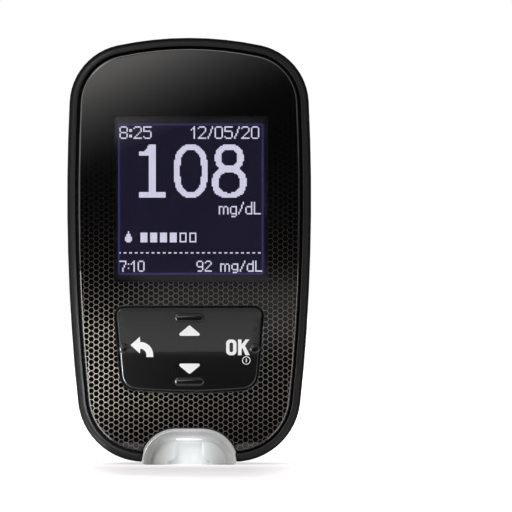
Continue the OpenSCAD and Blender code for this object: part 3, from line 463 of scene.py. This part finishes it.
def skin(loops, close_start=True, close_end=True):
    """Vertices and faces of a skin through loops of equal length."""
    count = len(loops[0])
    verts = [p for loop in loops for p in loop]
    faces = []
    for j in range(len(loops) - 1):
        for i in range(count):
            k = (i + 1) % count
            faces.append((j * count + i, j * count + k, (j + 1) * count + k, (j + 1) * count + i))
    if close_start:
        faces.append(tuple(range(count))[::-1])
    if close_end:
        faces.append(tuple((len(loops) - 1) * count + i for i in range(count)))
    return verts, faces


def joined(parts):
    """Several (verts, faces) as one."""
    verts, faces = [], []
    for v, f in parts:
        faces += [tuple(i + len(verts) for i in face) for face in f]
        verts += v
    return verts, faces


def dressed(node_name, finish, bevel_mm, name, sharp=32.0, where=None):
    """A copy of a CAD node with merged faces and even shading, and a small bevel on its sharp edges.

    where picks the edges by their middle, and the bevel stays off the others.
    """
    source = nodes[node_name]
    mesh = source.data.copy()
    bm = bmesh.new()
    bm.from_mesh(mesh)
    bmesh.ops.remove_doubles(bm, verts=bm.verts, dist=1e-6)
    bmesh.ops.join_triangles(
        bm, faces=bm.faces, angle_face_threshold=radians(1), angle_shape_threshold=radians(180)
    )
    weight = bm.edges.layers.float.new("bevel_weight_edge")
    for edge in bm.edges:
        if len(edge.link_faces) == 2 and edge.calc_face_angle(0) > radians(sharp):
            middle = (edge.verts[0].co + edge.verts[1].co) / 2 / MM
            edge[weight] = 1.0 if where is None or where(middle) else 0.0
    bm.to_mesh(mesh)
    bm.free()
    piece = settle(
        name, mesh, finish, node_body[node_name], (node_name,), sharp, turn_out=False
    )
    if bevel_mm:
        bevel = piece.modifiers.new("edge", "BEVEL")
        bevel.limit_method = "WEIGHT"
        bevel.width = bevel_mm * MM
        bevel.segments = 2
        bevel.use_clamp_overlap = False
        piece.modifiers.new("even", "WEIGHTED_NORMAL").keep_sharp = True
    return piece


# ---- case, panel and window ----

Y_RIM_INNER = -8.4  # the front case's edges in front of this show beside the panel
Y_OUTSIDE = 8.2  # the back's edges behind this show
SOUND_X, SOUND_Z, SOUND_CLEAR = -9.0, 14.0, 3.2  # the small sound holes stay sharp
LATCH_Z, LATCH_HALF, DOOR_FLAT_HALF = 65.0, 4.5, 17.0  # the door's latch and upper corners stay sharp
WINDOW_REACH, WINDOW_LOW, WINDOW_HIGH = 15.5, 34.0, 68.0  # a box round the panel's opening


def at_back(p):
    return p.y > Y_OUTSIDE and hypot(p.x - SOUND_X, p.z - SOUND_Z) > SOUND_CLEAR


def at_door(p):
    return p.y > Y_OUTSIDE and (p.z < LATCH_Z or LATCH_HALF < abs(p.x) < DOOR_FLAT_HALF)


def off_window(p):
    """The panel's own edge, and not that of its window."""
    return abs(p.x) > WINDOW_REACH or p.z < WINDOW_LOW or p.z > WINDOW_HIGH


dressed("front_case", RIM_ABS, 0.16, "case_front_shell", where=lambda p: p.y < Y_RIM_INNER)
dressed("rear_case", BACK_ABS, 0.1, "case_back_shell", where=at_back)
dressed("battery_door", DOOR_ABS, 0.1, "battery_door_cover", where=at_door)
dressed("face_plate", PANEL, 0.08, "face_panel", where=off_window)
dressed("display_window", PANE, 0.0, "window_pane")


def window_frame():
    """A bezel that slopes in smoothly from the window to the picture."""
    outside, opening, picture_size = (31.3, 33.6), (29.2, 31.5), (PICTURE_W, PICTURE_H)
    lip = 0.12
    loops = []
    for (w, h), y in (
        (outside, Y_PANEL), (outside, Y_PLATE_IN), (opening, Y_PLATE_IN),
        (picture_size, Y_PANEL - lip), (picture_size, Y_PANEL),
    ):
        corners = box_corners(PICTURE_X, PICTURE_Z, w, h, 0.4)
        loops.append([(x, y, z) for x, z in rounded(corners, 0, 6)])
    return skin(loops + loops[:1], False, False)


make(
    "window_frame", *window_frame(), FRAME_ABS, node_body["display_frame"], node_slot["display_frame"],
    ("display_frame",),
)
dressed("ejector_button", BUTTON_ABS, 0.3, "ejector_button_cap", where=lambda p: p.x > 21)
dressed("usb_shell", STEEL, 0.05, "usb_socket_shell")
dressed("case_screws", SCREW_STEEL, 0.08, "case_screw_heads")
dressed("rear_label", LABEL_FILM, 0.03, "rear_label_film")
dressed("coin_cell_left", STEEL, 0.15, "coin_cell_left_can")
dressed("coin_cell_right", STEEL, 0.15, "coin_cell_right_can")


# ---- key plate ----

RIDGE_Z, RIDGE_SOFT, RIDGE_SLOPE = 21.45, 0.16, 0.04
KEY_EDGE = 0.28  # radius of the plate's edge
KEY_EDGE_POINTS = 220


def key_face(z):
    """Depth of the key plate's front: flat below, and leaning back above a soft ridge."""
    away = z - RIDGE_Z
    return Y_KEY + RIDGE_SLOPE * (away + hypot(away, RIDGE_SOFT)) / 2


def key_outline(grow=0.0):
    """The plate's outline: wider at the top, and bowed along its lower edge."""
    low, high = KEY_Z - KEY_H / 2, KEY_Z + KEY_H / 2
    top, bottom = KEY_TOP_W / 2 - KEY_TOP_R, KEY_BOTTOM_W / 2 - KEY_BOTTOM_R
    corners = [
        (bottom, low + KEY_BOW + KEY_BOTTOM_R, KEY_BOTTOM_R), (top, high - KEY_TOP_R, KEY_TOP_R),
        (-top, high - KEY_TOP_R, KEY_TOP_R), (-bottom, low + KEY_BOW + KEY_BOTTOM_R, KEY_BOTTOM_R),
        (0, low + KEY_BOW_R, KEY_BOW_R),
    ]
    return rounded(corners, grow, 12)


def filled_face(edge, grid, depth_of):
    """A face of small triangles inside a closed edge, bent to a depth; its first points are the edge's."""
    ring_edges = [(i, (i + 1) % len(edge)) for i in range(len(edge))]
    flat = [Vector(p) for p in edge + grid]
    verts, _, faces, *_ = geometry.delaunay_2d_cdt(flat, ring_edges, [], 1, 1e-5)
    return [(v.x, depth_of(v.x, v.y), v.y) for v in verts], [tuple(f) for f in faces]


def key_cap():
    """The key plate's shell: a rounded edge, and a face with its points close together at the ridge."""
    base = resample(key_outline(), KEY_EDGE_POINTS)
    inner = resample(key_outline(-KEY_EDGE), KEY_EDGE_POINTS)
    loops = [[(x, Y_KEY_IN, z) for x, z in base]]
    for i in range(7):
        a = radians(15 * i)
        k = 1 - cos(a)
        loops.append([
            (bx + (ix - bx) * k, key_face(bz) + KEY_EDGE * (1 - sin(a)), bz + (iz - bz) * k)
            for (bx, bz), (ix, iz) in zip(base, inner)
        ])
    support = resample(key_outline(-KEY_EDGE - 0.05), KEY_EDGE_POINTS)
    loops.append([(x, key_face(z), z) for x, z in support])
    fold = [0.05 * i for i in range(-6, 7)] + [s * d for s in (-1, 1) for d in (0.45, 0.7, 1.1, 1.7)]
    heights = [RIDGE_Z + d for d in fold] + [15, 16.5, 18, 25, 26.5, 28, 29.2]
    grid = []
    for z in heights:
        reach = KEY_BOTTOM_W / 2 + (KEY_TOP_W - KEY_BOTTOM_W) / 2 * (z - KEY_Z + KEY_H / 2) / KEY_H - 0.6
        reach -= 2.2 if z < 16 else 0  # clear of the lower corners
        grid += [(reach * i / 12, z) for i in range(-12, 13)]
    face = filled_face(support, grid, lambda x, z: key_face(z))
    return joined([skin(loops, close_end=False), face])


def resample(points, count):
    """The same closed outline as evenly spaced points."""
    closed = points + points[:1]
    lengths = [0.0]
    for (ax, az), (bx, bz) in zip(closed, closed[1:]):
        lengths.append(lengths[-1] + hypot(bx - ax, bz - az))
    out, j = [], 0
    for i in range(count):
        at = lengths[-1] * i / count
        while lengths[j + 1] < at:
            j += 1
        part = (at - lengths[j]) / max(lengths[j + 1] - lengths[j], 1e-9)
        (ax, az), (bx, bz) = closed[j], closed[j + 1]
        out.append((ax + (bx - ax) * part, az + (bz - az) * part))
    return out


def finger_bump(x, z, w, d, edge=0.3):
    """A raised pad with a rounded edge, from inside the key plate to the bump level."""
    corners = box_corners(x, z, w, d, d / 2 - 0.001)
    foot = key_face(z)
    loops = [[(px, y, pz) for px, pz in rounded(corners, 0.06, 12)] for y in (foot + 0.15, foot)]
    for i in range(7):
        a = radians(15 * i)
        points = rounded(corners, -edge * (1 - cos(a)), 12)
        loops.append([(px, Y_BUMP + edge * (1 - sin(a)), pz) for px, pz in points])
    return skin(loops)


def bar_of(x, y0, y1, z, r):
    """A round bar along Y."""
    ring = arc(x, z, r, 0, 360, 24)[:-1]
    return skin([[(px, y, pz) for px, pz in ring] for y in (y0, y1)])


def rocking_rib(side):
    """A round rib along X behind the plate, on which it rocks up and down."""
    ring = arc(Y_KEY_IN + 0.25, KEY_Z, 0.55, 0, 360, 24)[:-1]
    return skin([[(side * 7 + dx, y, z) for y, z in ring] for dx in (-2.5, 2.5)])


make(
    "key_plate_cap",
    *joined(
        [key_cap()]
        + [finger_bump(0, KEY_Z + s * (KEY_H / 2 - 1.9), 5.6, 1.65) for s in (-1, 1)]
        + [finger_bump(s * (KEY_BOTTOM_W / 2 - 0.4), KEY_Z + 0.2, 1.9, 1.9, 0.34) for s in (-1, 1)]
        + [bar_of(0, Y_KEY_IN - 0.1, -4.15, KEY_Z + s * 6, 0.9) for s in (-1, 1)]
        + [rocking_rib(s) for s in (-1, 1)]
    ),
    KEY_GLOSS, node_body["key_plate"], node_slot["key_plate"], ("key_plate",),
)


# ---- printed symbols on the keys ----


def printed(name, shapes, depth_of, thickness, finish, body):
    """Flat ink: each shape is a list of closed loops in X and Z, and a loop inside another is a hole."""
    parts = bpy.data.curves.new(name, "CURVE")
    parts.dimensions, parts.fill_mode, parts.extrude = "2D", "BOTH", thickness * MM / 2
    for loop in shapes:
        spline = parts.splines.new("POLY")
        spline.points.add(len(loop) - 1)
        for point, (x, z) in zip(spline.points, loop):
            point.co = (x * MM, z * MM, 0, 1)
        spline.use_cyclic_u = True
    holder = bpy.data.objects.new(name + "_outline", parts)
    scene.collection.objects.link(holder)
    mesh = bpy.data.meshes.new_from_object(holder.evaluated_get(bpy.context.evaluated_depsgraph_get()))
    bpy.data.objects.remove(holder)
    for v in mesh.vertices:
        x, z, w = v.co
        v.co = (x, depth_of(z / MM) * MM - w, z)
    return settle(name, mesh, finish, body, sharp=30)


def soft_triangle(x, z_flat, z_tip, w, r=0.28):
    up = 1 if z_tip > z_flat else -1
    foot, flat = w / 2 - 1.75 * r, z_flat + up * r
    corners = [(x - foot, flat, r), (x, z_tip - up * 1.25 * r, r), (x + foot, flat, r)]
    return rounded(corners[::-1] if up > 0 else corners, 0, 5)


# Outlines in X and Z on the face of the plate.
BACK_ARROW = (
    [(-11.19, 22.85), (-9.41, 24.42), (-9.36, 23.4)]
    + arc(-9.33, 20.95, 2.46, 88, 0, 12)
    + [(-6.87, 20.55), (-8.16, 20.55)]
    + arc(-9.36, 20.95, 1.2, 0, 88, 8)
    + [(-9.41, 21.22)]
)
LETTER_K = [
    (9.31, 20.9), (9.98, 20.9), (9.98, 22.0), (10.14, 22.3), (10.75, 20.9), (11.57, 20.9),
    (10.62, 22.7), (11.48, 23.9), (10.74, 23.9), (9.98, 22.9), (9.98, 23.9), (9.31, 23.9),
]
LETTER_O = [rounded(box_corners(8.03, 22.4, w, h, r)) for w, h, r in ((1.98, 3.0, 0.8), (0.68, 1.85, 0.33))]
POWER = [arc(10.9, 19.9, r, 0, 360, 32)[:-1] for r in (0.79, 0.66)]
POWER.append(rounded(box_corners(10.9, 19.9, 0.2, 0.75, 0.09), 0, 4))
printed(
    "key_symbols",
    [soft_triangle(0.06, 24.6, 26.62, 4.3), soft_triangle(0.06, 19.3, 17.3, 4.3), BACK_ARROW, LETTER_K]
    + LETTER_O + POWER,
    lambda z: key_face(z) - 0.02, 0.08, INK, node_body["key_plate"],
)


# ---- the picture on the screen ----

LARGE = {  # figures 6 dots wide and 9 high
    "0": "011110 100001 100001 100001 100001 100001 100001 100001 011110",
    "1": "0010 0110 1010 0010 0010 0010 0010 0010 0010",
    "2": "011110 100001 000001 000001 000010 000100 001000 010000 111111",
    "5": "111111 100000 100000 111110 000001 000001 000001 100001 011110",
    "8": "011110 100001 100001 100001 011110 100001 100001 100001 011110",
    ":": "00 00 11 11 00 00 11 11 00",
    "/": "0001 0001 0010 0010 0010 0100 0100 1000 1000",
    "m": "0000000 0000000 0000000 1110110 1001001 1001001 1001001 1001001 1001001",
    "g": "00000 00000 00000 01111 10001 10001 10001 10001 01111 00001 01110",
    "d": "00001 00001 00001 01111 10001 10001 10001 10001 01111",
    "L": "10000 10000 10000 10000 10000 10000 10000 10000 11111",
    " ": "000 000",
}
SMALL = {  # figures 5 dots wide and 8 high
    "0": "01110 10001 10001 10001 10001 10001 10001 01110",
    "1": "0010 0110 1010 0010 0010 0010 0010 0010",
    "2": "01110 10001 00001 00010 00100 01000 10000 11111",
    "7": "11111 00001 00001 00010 00010 00100 00100 00100",
    "9": "01110 10001 10001 10001 01111 00001 00001 01110",
    ":": "0 0 1 0 0 1 0 0",
    "/": "0001 0001 0010 0010 0100 0100 1000 1000",
    "m": "0000000 0000000 1110110 1001001 1001001 1001001 1001001 1001001",
    "g": "00000 00000 01111 10001 10001 10001 01111 00001 01110",
    "d": "00001 00001 01111 10001 10001 10001 10001 01111",
    "L": "10000 10000 10000 10000 10000 10000 10000 11111",
    " ": "000 000",
}
DROP = {"0": "0001000 0001000 0011100 0011100 0111110 0111110 0111110 0011100"}


def written(text, font, column, row, right=False):
    """Lit dots of a line of text, as (column, row) from the picture's upper left corner."""
    glyphs = [font[c].split() for c in text]
    width = sum(len(g[0]) + 1 for g in glyphs) - 1
    column -= width if right else 0
    lit = set()
    for glyph in glyphs:
        for j, line in enumerate(glyph):
            lit |= {(column + i, row + j) for i, dot in enumerate(line) if dot == "1"}
        column += len(glyph[0]) + 1
    return lit


def filled(test):
    """The dots whose middle passes a test."""
    return {(i, j) for i in range(COLUMNS) for j in range(ROWS) if test(i + 0.5, j + 0.5)}


def ring(x, y, w, h, side, cap, power=2.4):
    """An oval ring of dots, side dots thick at its sides and cap dots thick at top and bottom."""

    def inside(px, py, a, b):
        return abs((px - x) / a) ** power + abs((py - y) / b) ** power <= 1

    a, b = w / 2, h / 2
    return filled(lambda px, py: inside(px, py, a, b) and not inside(px, py, a - side, b - cap))


def big_one():
    """The large figure 1: a stem on a foot, with a flag that slopes down."""
    stem = filled(lambda x, y: 22.2 < x < 27 and 15 < y < 53)
    foot = filled(lambda x, y: 14.5 < x < 34.5 and 49 < y < 53)
    flag = filled(lambda x, y: 15 < x < 23 and 20 < y < 23)
    slope = filled(lambda x, y: 19 < x < 24 and 15 < y < 23 and 35.4 < x + 0.85 * y < 41.4)
    return stem | foot | flag | slope


def level_bar(column, row, filled_cells, cells):
    """A row of small cells, the first ones filled."""
    lit = set()
    for cell in range(cells):
        for i in range(5):
            for j in range(7):
                if cell < filled_cells or i in (0, 4) or j in (0, 6):
                    lit.add((column + 7 * cell + i, row + j))
    return lit


def picture():
    """All lit dots: two lines of text round a large reading, with a drop and a bar for its level."""
    lit = written("8:25", LARGE, 1, 2) | written("12/05/20", LARGE, 101, 2, right=True)
    lit |= big_one() | ring(52, 34, 24.4, 38.4, 4.6, 3.7)
    lit |= ring(79.5, 24.5, 20.4, 19.4, 4.4, 3.7) | ring(79.5, 42.2, 24.4, 22.2, 4.6, 3.7)
    lit |= written("mg/dL", LARGE, 102, 56, right=True)
    lit |= written("0", DROP, 4, 77) | level_bar(16, 78, 4, 6)
    lit |= {(i, 92) for i in range(1, COLUMNS - 1) if i % 4 < 2}
    lit |= written("7:10", SMALL, 1, 98) | written("92", SMALL, 67, 98, right=True)
    lit |= written("mg/dL", SMALL, 103, 98, right=True)
    return sorted(lit)


def tile_tree(name):
    """Geometry nodes that put one flat tile on every point, sized by named inputs."""
    tree = bpy.data.node_groups.new(name, "GeometryNodeTree")
    kinds = {"Geometry": "Geometry", "Width": "Float", "Height": "Float", "Thickness": "Float"}
    kinds["Finish"] = "Material"
    for label, kind in kinds.items():
        tree.interface.new_socket(label, in_out="INPUT", socket_type="NodeSocket" + kind)
    tree.interface.new_socket("Geometry", in_out="OUTPUT", socket_type="NodeSocketGeometry")
    g = Nodes(tree)
    points, width, height, thickness, finish = g.add("NodeGroupInput", out=tuple(kinds))
    tile = g.add("GeometryNodeMeshCube", {"Size": g.add("CombineXYZ", width, thickness, height)})
    placed = g.add("GeometryNodeInstanceOnPoints", {"Points": points, "Instance": tile})
    real = g.add("GeometryNodeRealizeInstances", placed)
    painted = g.add("GeometryNodeSetMaterial", {"Geometry": real, "Material": finish})
    g.tree.links.new(painted, tree.nodes.new("NodeGroupOutput").inputs[0])
    return tree


TILES = tile_tree("tiles_on_points")


def tiled(name, points, width, height, thickness, finish, body):
    """Tiles of one size at points in millimetres, as one plain mesh."""
    cloud = bpy.data.meshes.new(name + "_points")
    cloud.from_pydata([Vector(p) * MM for p in points], [], [])
    holder = bpy.data.objects.new(name + "_points", cloud)
    scene.collection.objects.link(holder)
    modifier = holder.modifiers.new("tiles", "NODES")
    modifier.node_group = TILES
    values = {"Width": width * MM, "Height": height * MM, "Thickness": thickness * MM, "Finish": finish}
    for item in TILES.interface.items_tree:
        if item.in_out == "INPUT" and item.name in values:
            modifier[item.identifier] = values[item.name]
    mesh = bpy.data.meshes.new_from_object(holder.evaluated_get(bpy.context.evaluated_depsgraph_get()))
    bpy.data.objects.remove(holder)
    mesh.name = name
    return settle(name, mesh, finish, body, sharp=30)


left, top = PICTURE_X - PICTURE_W / 2, PICTURE_Z + PICTURE_H / 2
tiled(
    "screen_dots",
    [(left + (i + 0.5) * DOT, Y_PANEL - 0.01, top - (j + 0.5) * DOT) for i, j in picture()],
    DOT * 0.96, DOT * 0.96, 0.02, DOTS, node_body["lcd_panel"],
)


# ---- strip port ----


def smooth(value, low, high):
    """0 below low and 1 above high, with a soft step between."""
    t = min(max((value - low) / (high - low), 0.0), 1.0)
    return t * t * (3 - 2 * t)


def port_outline(grow=0.0):
    """The port's arch from foot to foot, moved out by grow."""
    foot_x, foot_r = PORT_HALF + PORT_R - 0.6, 0.6
    right = arc(foot_x, foot_r, foot_r + grow, -90, 0, 5) + arc(PORT_HALF, PORT_Z, PORT_R + grow, 5, 90, 40)
    return right + [(-x, z) for x, z in reversed(right)]


def port_depth(x, z):
    """Depth of the port's moulded face behind its front level."""
    inside = PORT_R - hypot(max(abs(x) - PORT_HALF, 0), max(z - PORT_Z, 0))
    lip = 0.12 * (1 - smooth(inside, 0.0, 0.12))
    band = 0.25 * smooth(inside, 0.22, 0.4) + 1.35 * smooth(inside, 0.35, 1.6)
    band += 1.1 * smooth(inside, 1.45, 2.1)
    half = 2.7  # of the channel's width, which flares towards its mouth
    if z < 2.0:
        half += 1.4 * (1 - sqrt(max(0.0, 1 - (min(2.0 - z, 1.4) / 1.4) ** 2)))
    channel = smooth(half - abs(x), 0.0, 0.3) * smooth(4.35 - z, 0.0, 0.25)
    return lip + band + (4.5 - lip - band) * channel


def port_piece():
    """The port's moulding, with a lip that closes on the face panel above its feet."""
    edge = resample(port_outline(), 260)
    wide = resample(port_outline(1.0), 260)
    lip = [
        (x + (wx - x) * k, max(z + (wz - z) * k, 0.0))
        for (x, z), (wx, wz) in zip(edge, wide)
        for k in [0.08 + 0.26 * smooth(z, 1.9, 2.8)]
    ]
    rim = [(x + (lx - x) * 0.7, z + (lz - z) * 0.7) for (x, z), (lx, lz) in zip(edge, lip)]
    step = 0.12
    grid = []
    for i in range(-76, 77):
        for j in range(1, 56):
            x, z = i * step, j * step
            inside = PORT_R - hypot(max(abs(x) - PORT_HALF, 0), max(z - PORT_Z, 0))
            if inside > 0.08 and z > 0.1:
                grid.append((x, z))
    front = filled_face(edge, grid, lambda x, z: Y_PORT + port_depth(x, z))
    loops = [[(x, Y_PORT + port_depth(x, z), z) for x, z in edge]]
    loops.append([(x, Y_PORT, z) for x, z in rim])
    for points, y in ((lip, Y_PORT + 0.1), (lip, Y_PORT + 0.8), (edge, Y_PORT + 1.1), (edge, Y_PORT_IN)):
        loops.append([(x, y, z) for x, z in points])
    return joined([front, skin(loops, close_start=False)])


make(
    "strip_port_moulding", *port_piece(), PORT, node_body["strip_port"], node_slot["strip_port"],
    ("strip_port",), 60,
)
# A glowing bar across the slot's ledge: a painted highlight of the slot's lip, in the lamp lens finish.
tiled(
    "port_ledge_highlight_bar", [(0, Y_PORT + port_depth(0, 4.82), 4.82)], 4.9, 0.26, 0.16, LAMP_LENS_AND_HIGHLIGHT,
    node_body["port_lamps"],
)

# ---- grip ribs on the battery door's latch and on the ejector button ----

tiled(
    "battery_latch_ribs",
    [(0, 9.66, 67.6 + 0.8 * i) for i in range(4)],
    5.6, 0.35, 0.3, DOOR_ABS, node_body["battery_door"],
)

BUTTON_Y, BUTTON_RIB_Z = -4.9, (21.9, 22.7, 23.5, 24.3, 25.1, 25.9)
button_mesh = nodes["ejector_button"].data
button_tree = BVHTree.FromPolygons(
    [v.co for v in button_mesh.vertices], [tuple(f.vertices) for f in button_mesh.polygons]
)


def button_face(z):
    """How far out the ejector button's face lies at a height."""
    return button_tree.ray_cast(Vector((50, BUTTON_Y, z)) * MM, Vector((-1, 0, 0)))[0].x / MM


tiled(
    "ejector_button_ribs",
    [(button_face(z) - 0.1, BUTTON_Y, z) for z in BUTTON_RIB_Z],
    0.3, 0.35, 2.6, BUTTON_ABS, node_body["ejector_button"],
)


# ---- camera, floor and light ----

IMAGE_PX, SCALE = 512.0, 5.23  # the picture's width, and its pixels to a millimetre
FOOT_PX, MIDDLE_PX = 464.3, 189.2  # the row where the body stands, and the column of its middle
DISTANCE, FOCUS = 1.5, 0.0065  # to the middle of the body, and the front's depth, at which SCALE holds
SENSOR = 36.0
camera = bpy.data.objects.new("camera", bpy.data.cameras.new("camera"))
scene.collection.objects.link(camera)
camera.location = (0, -DISTANCE, (FOOT_PX - IMAGE_PX / 2) / SCALE * MM)
camera.rotation_euler = (radians(90), 0, 0)
camera.data.sensor_width = SENSOR
camera.data.lens = SENSOR * (DISTANCE - FOCUS) / (IMAGE_PX / SCALE * MM)
camera.data.shift_x = (IMAGE_PX / 2 - MIDDLE_PX) / IMAGE_PX
camera.data.clip_start, camera.data.clip_end = 0.01, 20
scene.camera = camera


def eye_rays(tree):
    """1 for the rays that the eye follows: straight, mirrored, or through the pane."""
    direct, mirrored, through = tree.add(
        "LightPath", out=("Is Camera Ray", "Is Glossy Ray", "Is Transmission Ray")
    )
    either = tree.add("Math", direct, mirrored, operation="MAXIMUM")
    return tree.add("Math", either, through, operation="MAXIMUM")


def pale_floor():
    """Pale paper that keeps the body's shadow.

    A glow that only the eye's rays see evens it out to white further off, and holds back in a
    soft patch in front of the body: a painted shadow there.
    """
    f = Finish("floor_pale", "#cdc8ca", 0.9, Specular_IOR_Level=0.1)
    x, y = f.add("SeparateXYZ", f.place_mm(), out=("X", "Y"))
    far = f.add("VectorMath", f.place_mm(), out="Value", operation="LENGTH")
    # Painted shadow: the glow is held back in a patch in front of the body, darkening the floor there.
    patch = f.add("MapRange", f.add("Math", x, operation="ABSOLUTE"), 9.0, 27.0, 0.36, 0.0, **SMOOTH)
    # the painted shadow patch: weaker close to the body, and gone well in front of it
    for step in ((-40.0, -4.0, 1.0, 0.2), (-170.0, -80.0, 0.0, 1.0)):
        patch = f.add("Math", patch, f.add("MapRange", y, *step, **SMOOTH), operation="MULTIPLY")
    even = f.add("MapRange", far, 30.0, 160.0, 0.66, 0.9, **SMOOTH)
    glow = f.add("Emission", "#ffffff", f.add("Math", even, patch, operation="SUBTRACT"))
    paper = f.shader.outputs[0]
    both = f.add("AddShader", glow, paper)
    mixed = f.add("MixShader", eye_rays(f), paper, both)
    f.tree.links.new(mixed, f.tree.nodes["Material Output"].inputs["Surface"])
    return f.material


FLOOR_REACH = 4.0
floor_mesh = bpy.data.meshes.new("floor")
floor_corners = [(x * FLOOR_REACH, y * FLOOR_REACH, 0) for x, y in ((-1, -1), (1, -1), (1, 1), (-1, 1))]
floor_mesh.from_pydata(floor_corners, [], [(0, 1, 2, 3)])
floor_mesh.materials.append(pale_floor())
floor = bpy.data.objects.new("floor", floor_mesh)
scene.collection.objects.link(floor)

world = bpy.data.worlds.new("studio")
world.use_nodes = True
scene.world = world
sky = Nodes(world.node_tree)
white = sky.tree.nodes["Background"]
white.inputs["Color"].default_value = colour("#ffffff")
sky.tree.links.new(sky.add("MapRange", eye_rays(sky), 0.0, 1.0, 0.55, 1.0), white.inputs["Strength"])


def soft_light(name, place, aim, size, watts, glossy=True):
    lamp = bpy.data.lights.new(name, "AREA")
    lamp.shape, lamp.size, lamp.size_y, lamp.energy = "RECTANGLE", size[0], size[1], watts
    holder = bpy.data.objects.new(name, lamp)
    scene.collection.objects.link(holder)
    holder.location = place
    holder.rotation_euler = (Vector(aim) - Vector(place)).to_track_quat("-Z", "Y").to_euler()
    holder.visible_glossy = glossy


soft_light("front_left_light", (-0.7, -1.2, 0.9), (0, 0, 0.04), (0.6, 0.6), 13.0)
soft_light("back_light", (0.0, 0.85, 0.5), (0, 0, 0.04), (0.35, 0.3), 6.5, glossy=False)


def card(name, pairs, radiance):
    """A studio card through pairs of points, seen in reflections and through the pane only.

    radiance is a number, or a function that builds it from the card's own place in metres.
    """
    mesh = bpy.data.meshes.new(name)
    faces = [(2 * i, 2 * i + 2, 2 * i + 3, 2 * i + 1) for i in range(len(pairs) - 1)]
    mesh.from_pydata([point for pair in pairs for point in pair], [], faces)
    board = bpy.data.objects.new(name, mesh)
    scene.collection.objects.link(board)
    board.visible_camera = board.visible_diffuse = board.visible_shadow = False
    f = Finish(name, "#000000", 1.0, Specular_IOR_Level=0.0, Emission_Strength=1.0)
    if callable(radiance):
        place = f.add("SeparateXYZ", f.add("TexCoord", out="Object"), out=("X", "Y", "Z"))
        f.link(radiance(f, *place), "Emission Color")
    else:
        f.shader.inputs["Emission Color"].default_value = (1, 1, 1, 1)
        f.shader.inputs["Emission Strength"].default_value = radiance
    mesh.materials.append(f.material)


def upright(x0, x1, y0, y1, z0, z1):
    return [((x0, y0, z0), (x0, y0, z1)), ((x1, y1, z0), (x1, y1, z1))]


def lying(x0, x1, y0, y1, z):
    return [((x0, y0, z), (x0, y1, z)), ((x1, y0, z), (x1, y1, z))]


def zone(f, first, first_span, second, second_span):
    """Two smooth steps multiplied; each span is its start and end, and the values there."""
    one = f.add("MapRange", first, *first_span, **SMOOTH)
    other = f.add("MapRange", second, *second_span, **SMOOTH)
    return f.add("Math", one, other, operation="MULTIPLY")


def tinted(f, brightness, tint=(1.0, 1.0, 1.0)):
    """A tint as bright as an output says."""
    return f.add("VectorMath", {0: tint, "Scale": brightness}, operation="SCALE")


def front_board(f, x, y, z):
    """Dark board far in front: a warm patch upper left, a pale band above and a faint one low down."""
    left = f.add("Math", x, -1 / 0.062, operation="MULTIPLY")
    up = f.add("Math", z, 1 / 0.028, operation="MULTIPLY")
    patch = f.add("Math", left, up, operation="ADD")
    growth = (
        ("SUBTRACT", 1.0 + 0.170 / 0.028), ("EXPONENT", 0.0), ("MULTIPLY", 3.1),
        ("SUBTRACT", 0.3), ("MAXIMUM", 0.0), ("MINIMUM", 2.6),
    )
    for operation, amount in growth:
        patch = f.add("Math", patch, amount, operation=operation)
    cut = f.add("MapRange", z, 0.2, 0.235, 1.0, 0.0, **SMOOTH)
    patch = f.add("Math", patch, cut, operation="MULTIPLY")
    band = zone(f, z, (0.23, 0.29, 0.0, 1.05), z, (0.3, 0.33, 1.0, 0.5))
    low = zone(f, z, (0.012, 0.032, 0.5, 0.0), x, (-0.055, -0.015, 0.0, 1.0))
    brightness = f.add("Math", f.add("Math", patch, band, operation="ADD"), low, operation="ADD")
    return tinted(f, brightness, (1.03, 1.0, 0.98))


def front_skirt(f, x, y, z):
    """Dark cloth on the table in front, a little paler far off."""
    return tinted(f, zone(f, y, (-3.2, -1.3, 0.5, 0.0), x, (-0.05, -0.015, 0.0, 1.0)))


def edge_hoop(f, x, y, z):
    """Bright over the left edge, dying away over the right one."""
    left = f.add("MapRange", x, -1.0, 0.0, 3.0, 4.0)
    right = f.add("MapRange", x, 0.0, 0.9, 0.0, -3.6)
    return tinted(f, f.add("Math", left, right, operation="ADD"))


HOOP_Z = 0.04  # the middle of a hoop of 1 m radius round the body's edge
HOOP = [(cos(radians(a)), HOOP_Z + sin(radians(a))) for a in range(-2, 183, 4)]
LOW_EDGE = ((0.018, 0.0006), (0.07, 0.0006), (0.07, 0.035))  # along the floor, then up, at each side
card("front_board", upright(-3.0, 3.0, -4.0, -4.0, -0.05, 3.5), front_board)
card("front_skirt", lying(-3, 3, -4, -0.12, 0.0005), front_skirt)
card("back_board", upright(-2.0, 2.0, 1.6, 1.6, 0.0, 2.5), 0.06)
card("left_flag", upright(-1.8, -1.8, 1.6, -1.2, 0.0, 2.0), 0.1)
card("right_flag", upright(1.8, 1.8, -1.2, 1.6, 0.0, 2.0), 0.05)
card("top_flag", lying(-1.8, 1.8, -1.0, 1.6, 1.9), 0.1)
card("edge_hoop", [((x, -0.01, z), (x, 0.06, z)) for x, z in HOOP], edge_hoop)
card("left_strip", upright(-1.5, -0.95, -0.7, -1.3, 0.1, 0.8), 3.0)
card("right_strip", upright(1.0, 1.3, -1.2, -0.85, 0.1, 0.8), 2.5)
card("low_left_strip", upright(-0.0405, -0.0255, -0.07, -0.07, 0.003, 0.023), 80.0)
for side, name, radiance in ((-1, "low_edge_left", 10.0), (1, "low_edge_right", 3.0)):
    card(name, [((side * x, -0.012, z), (side * x, -0.004, z)) for x, z in LOW_EDGE], radiance)

scene.view_settings.view_transform = "Standard"
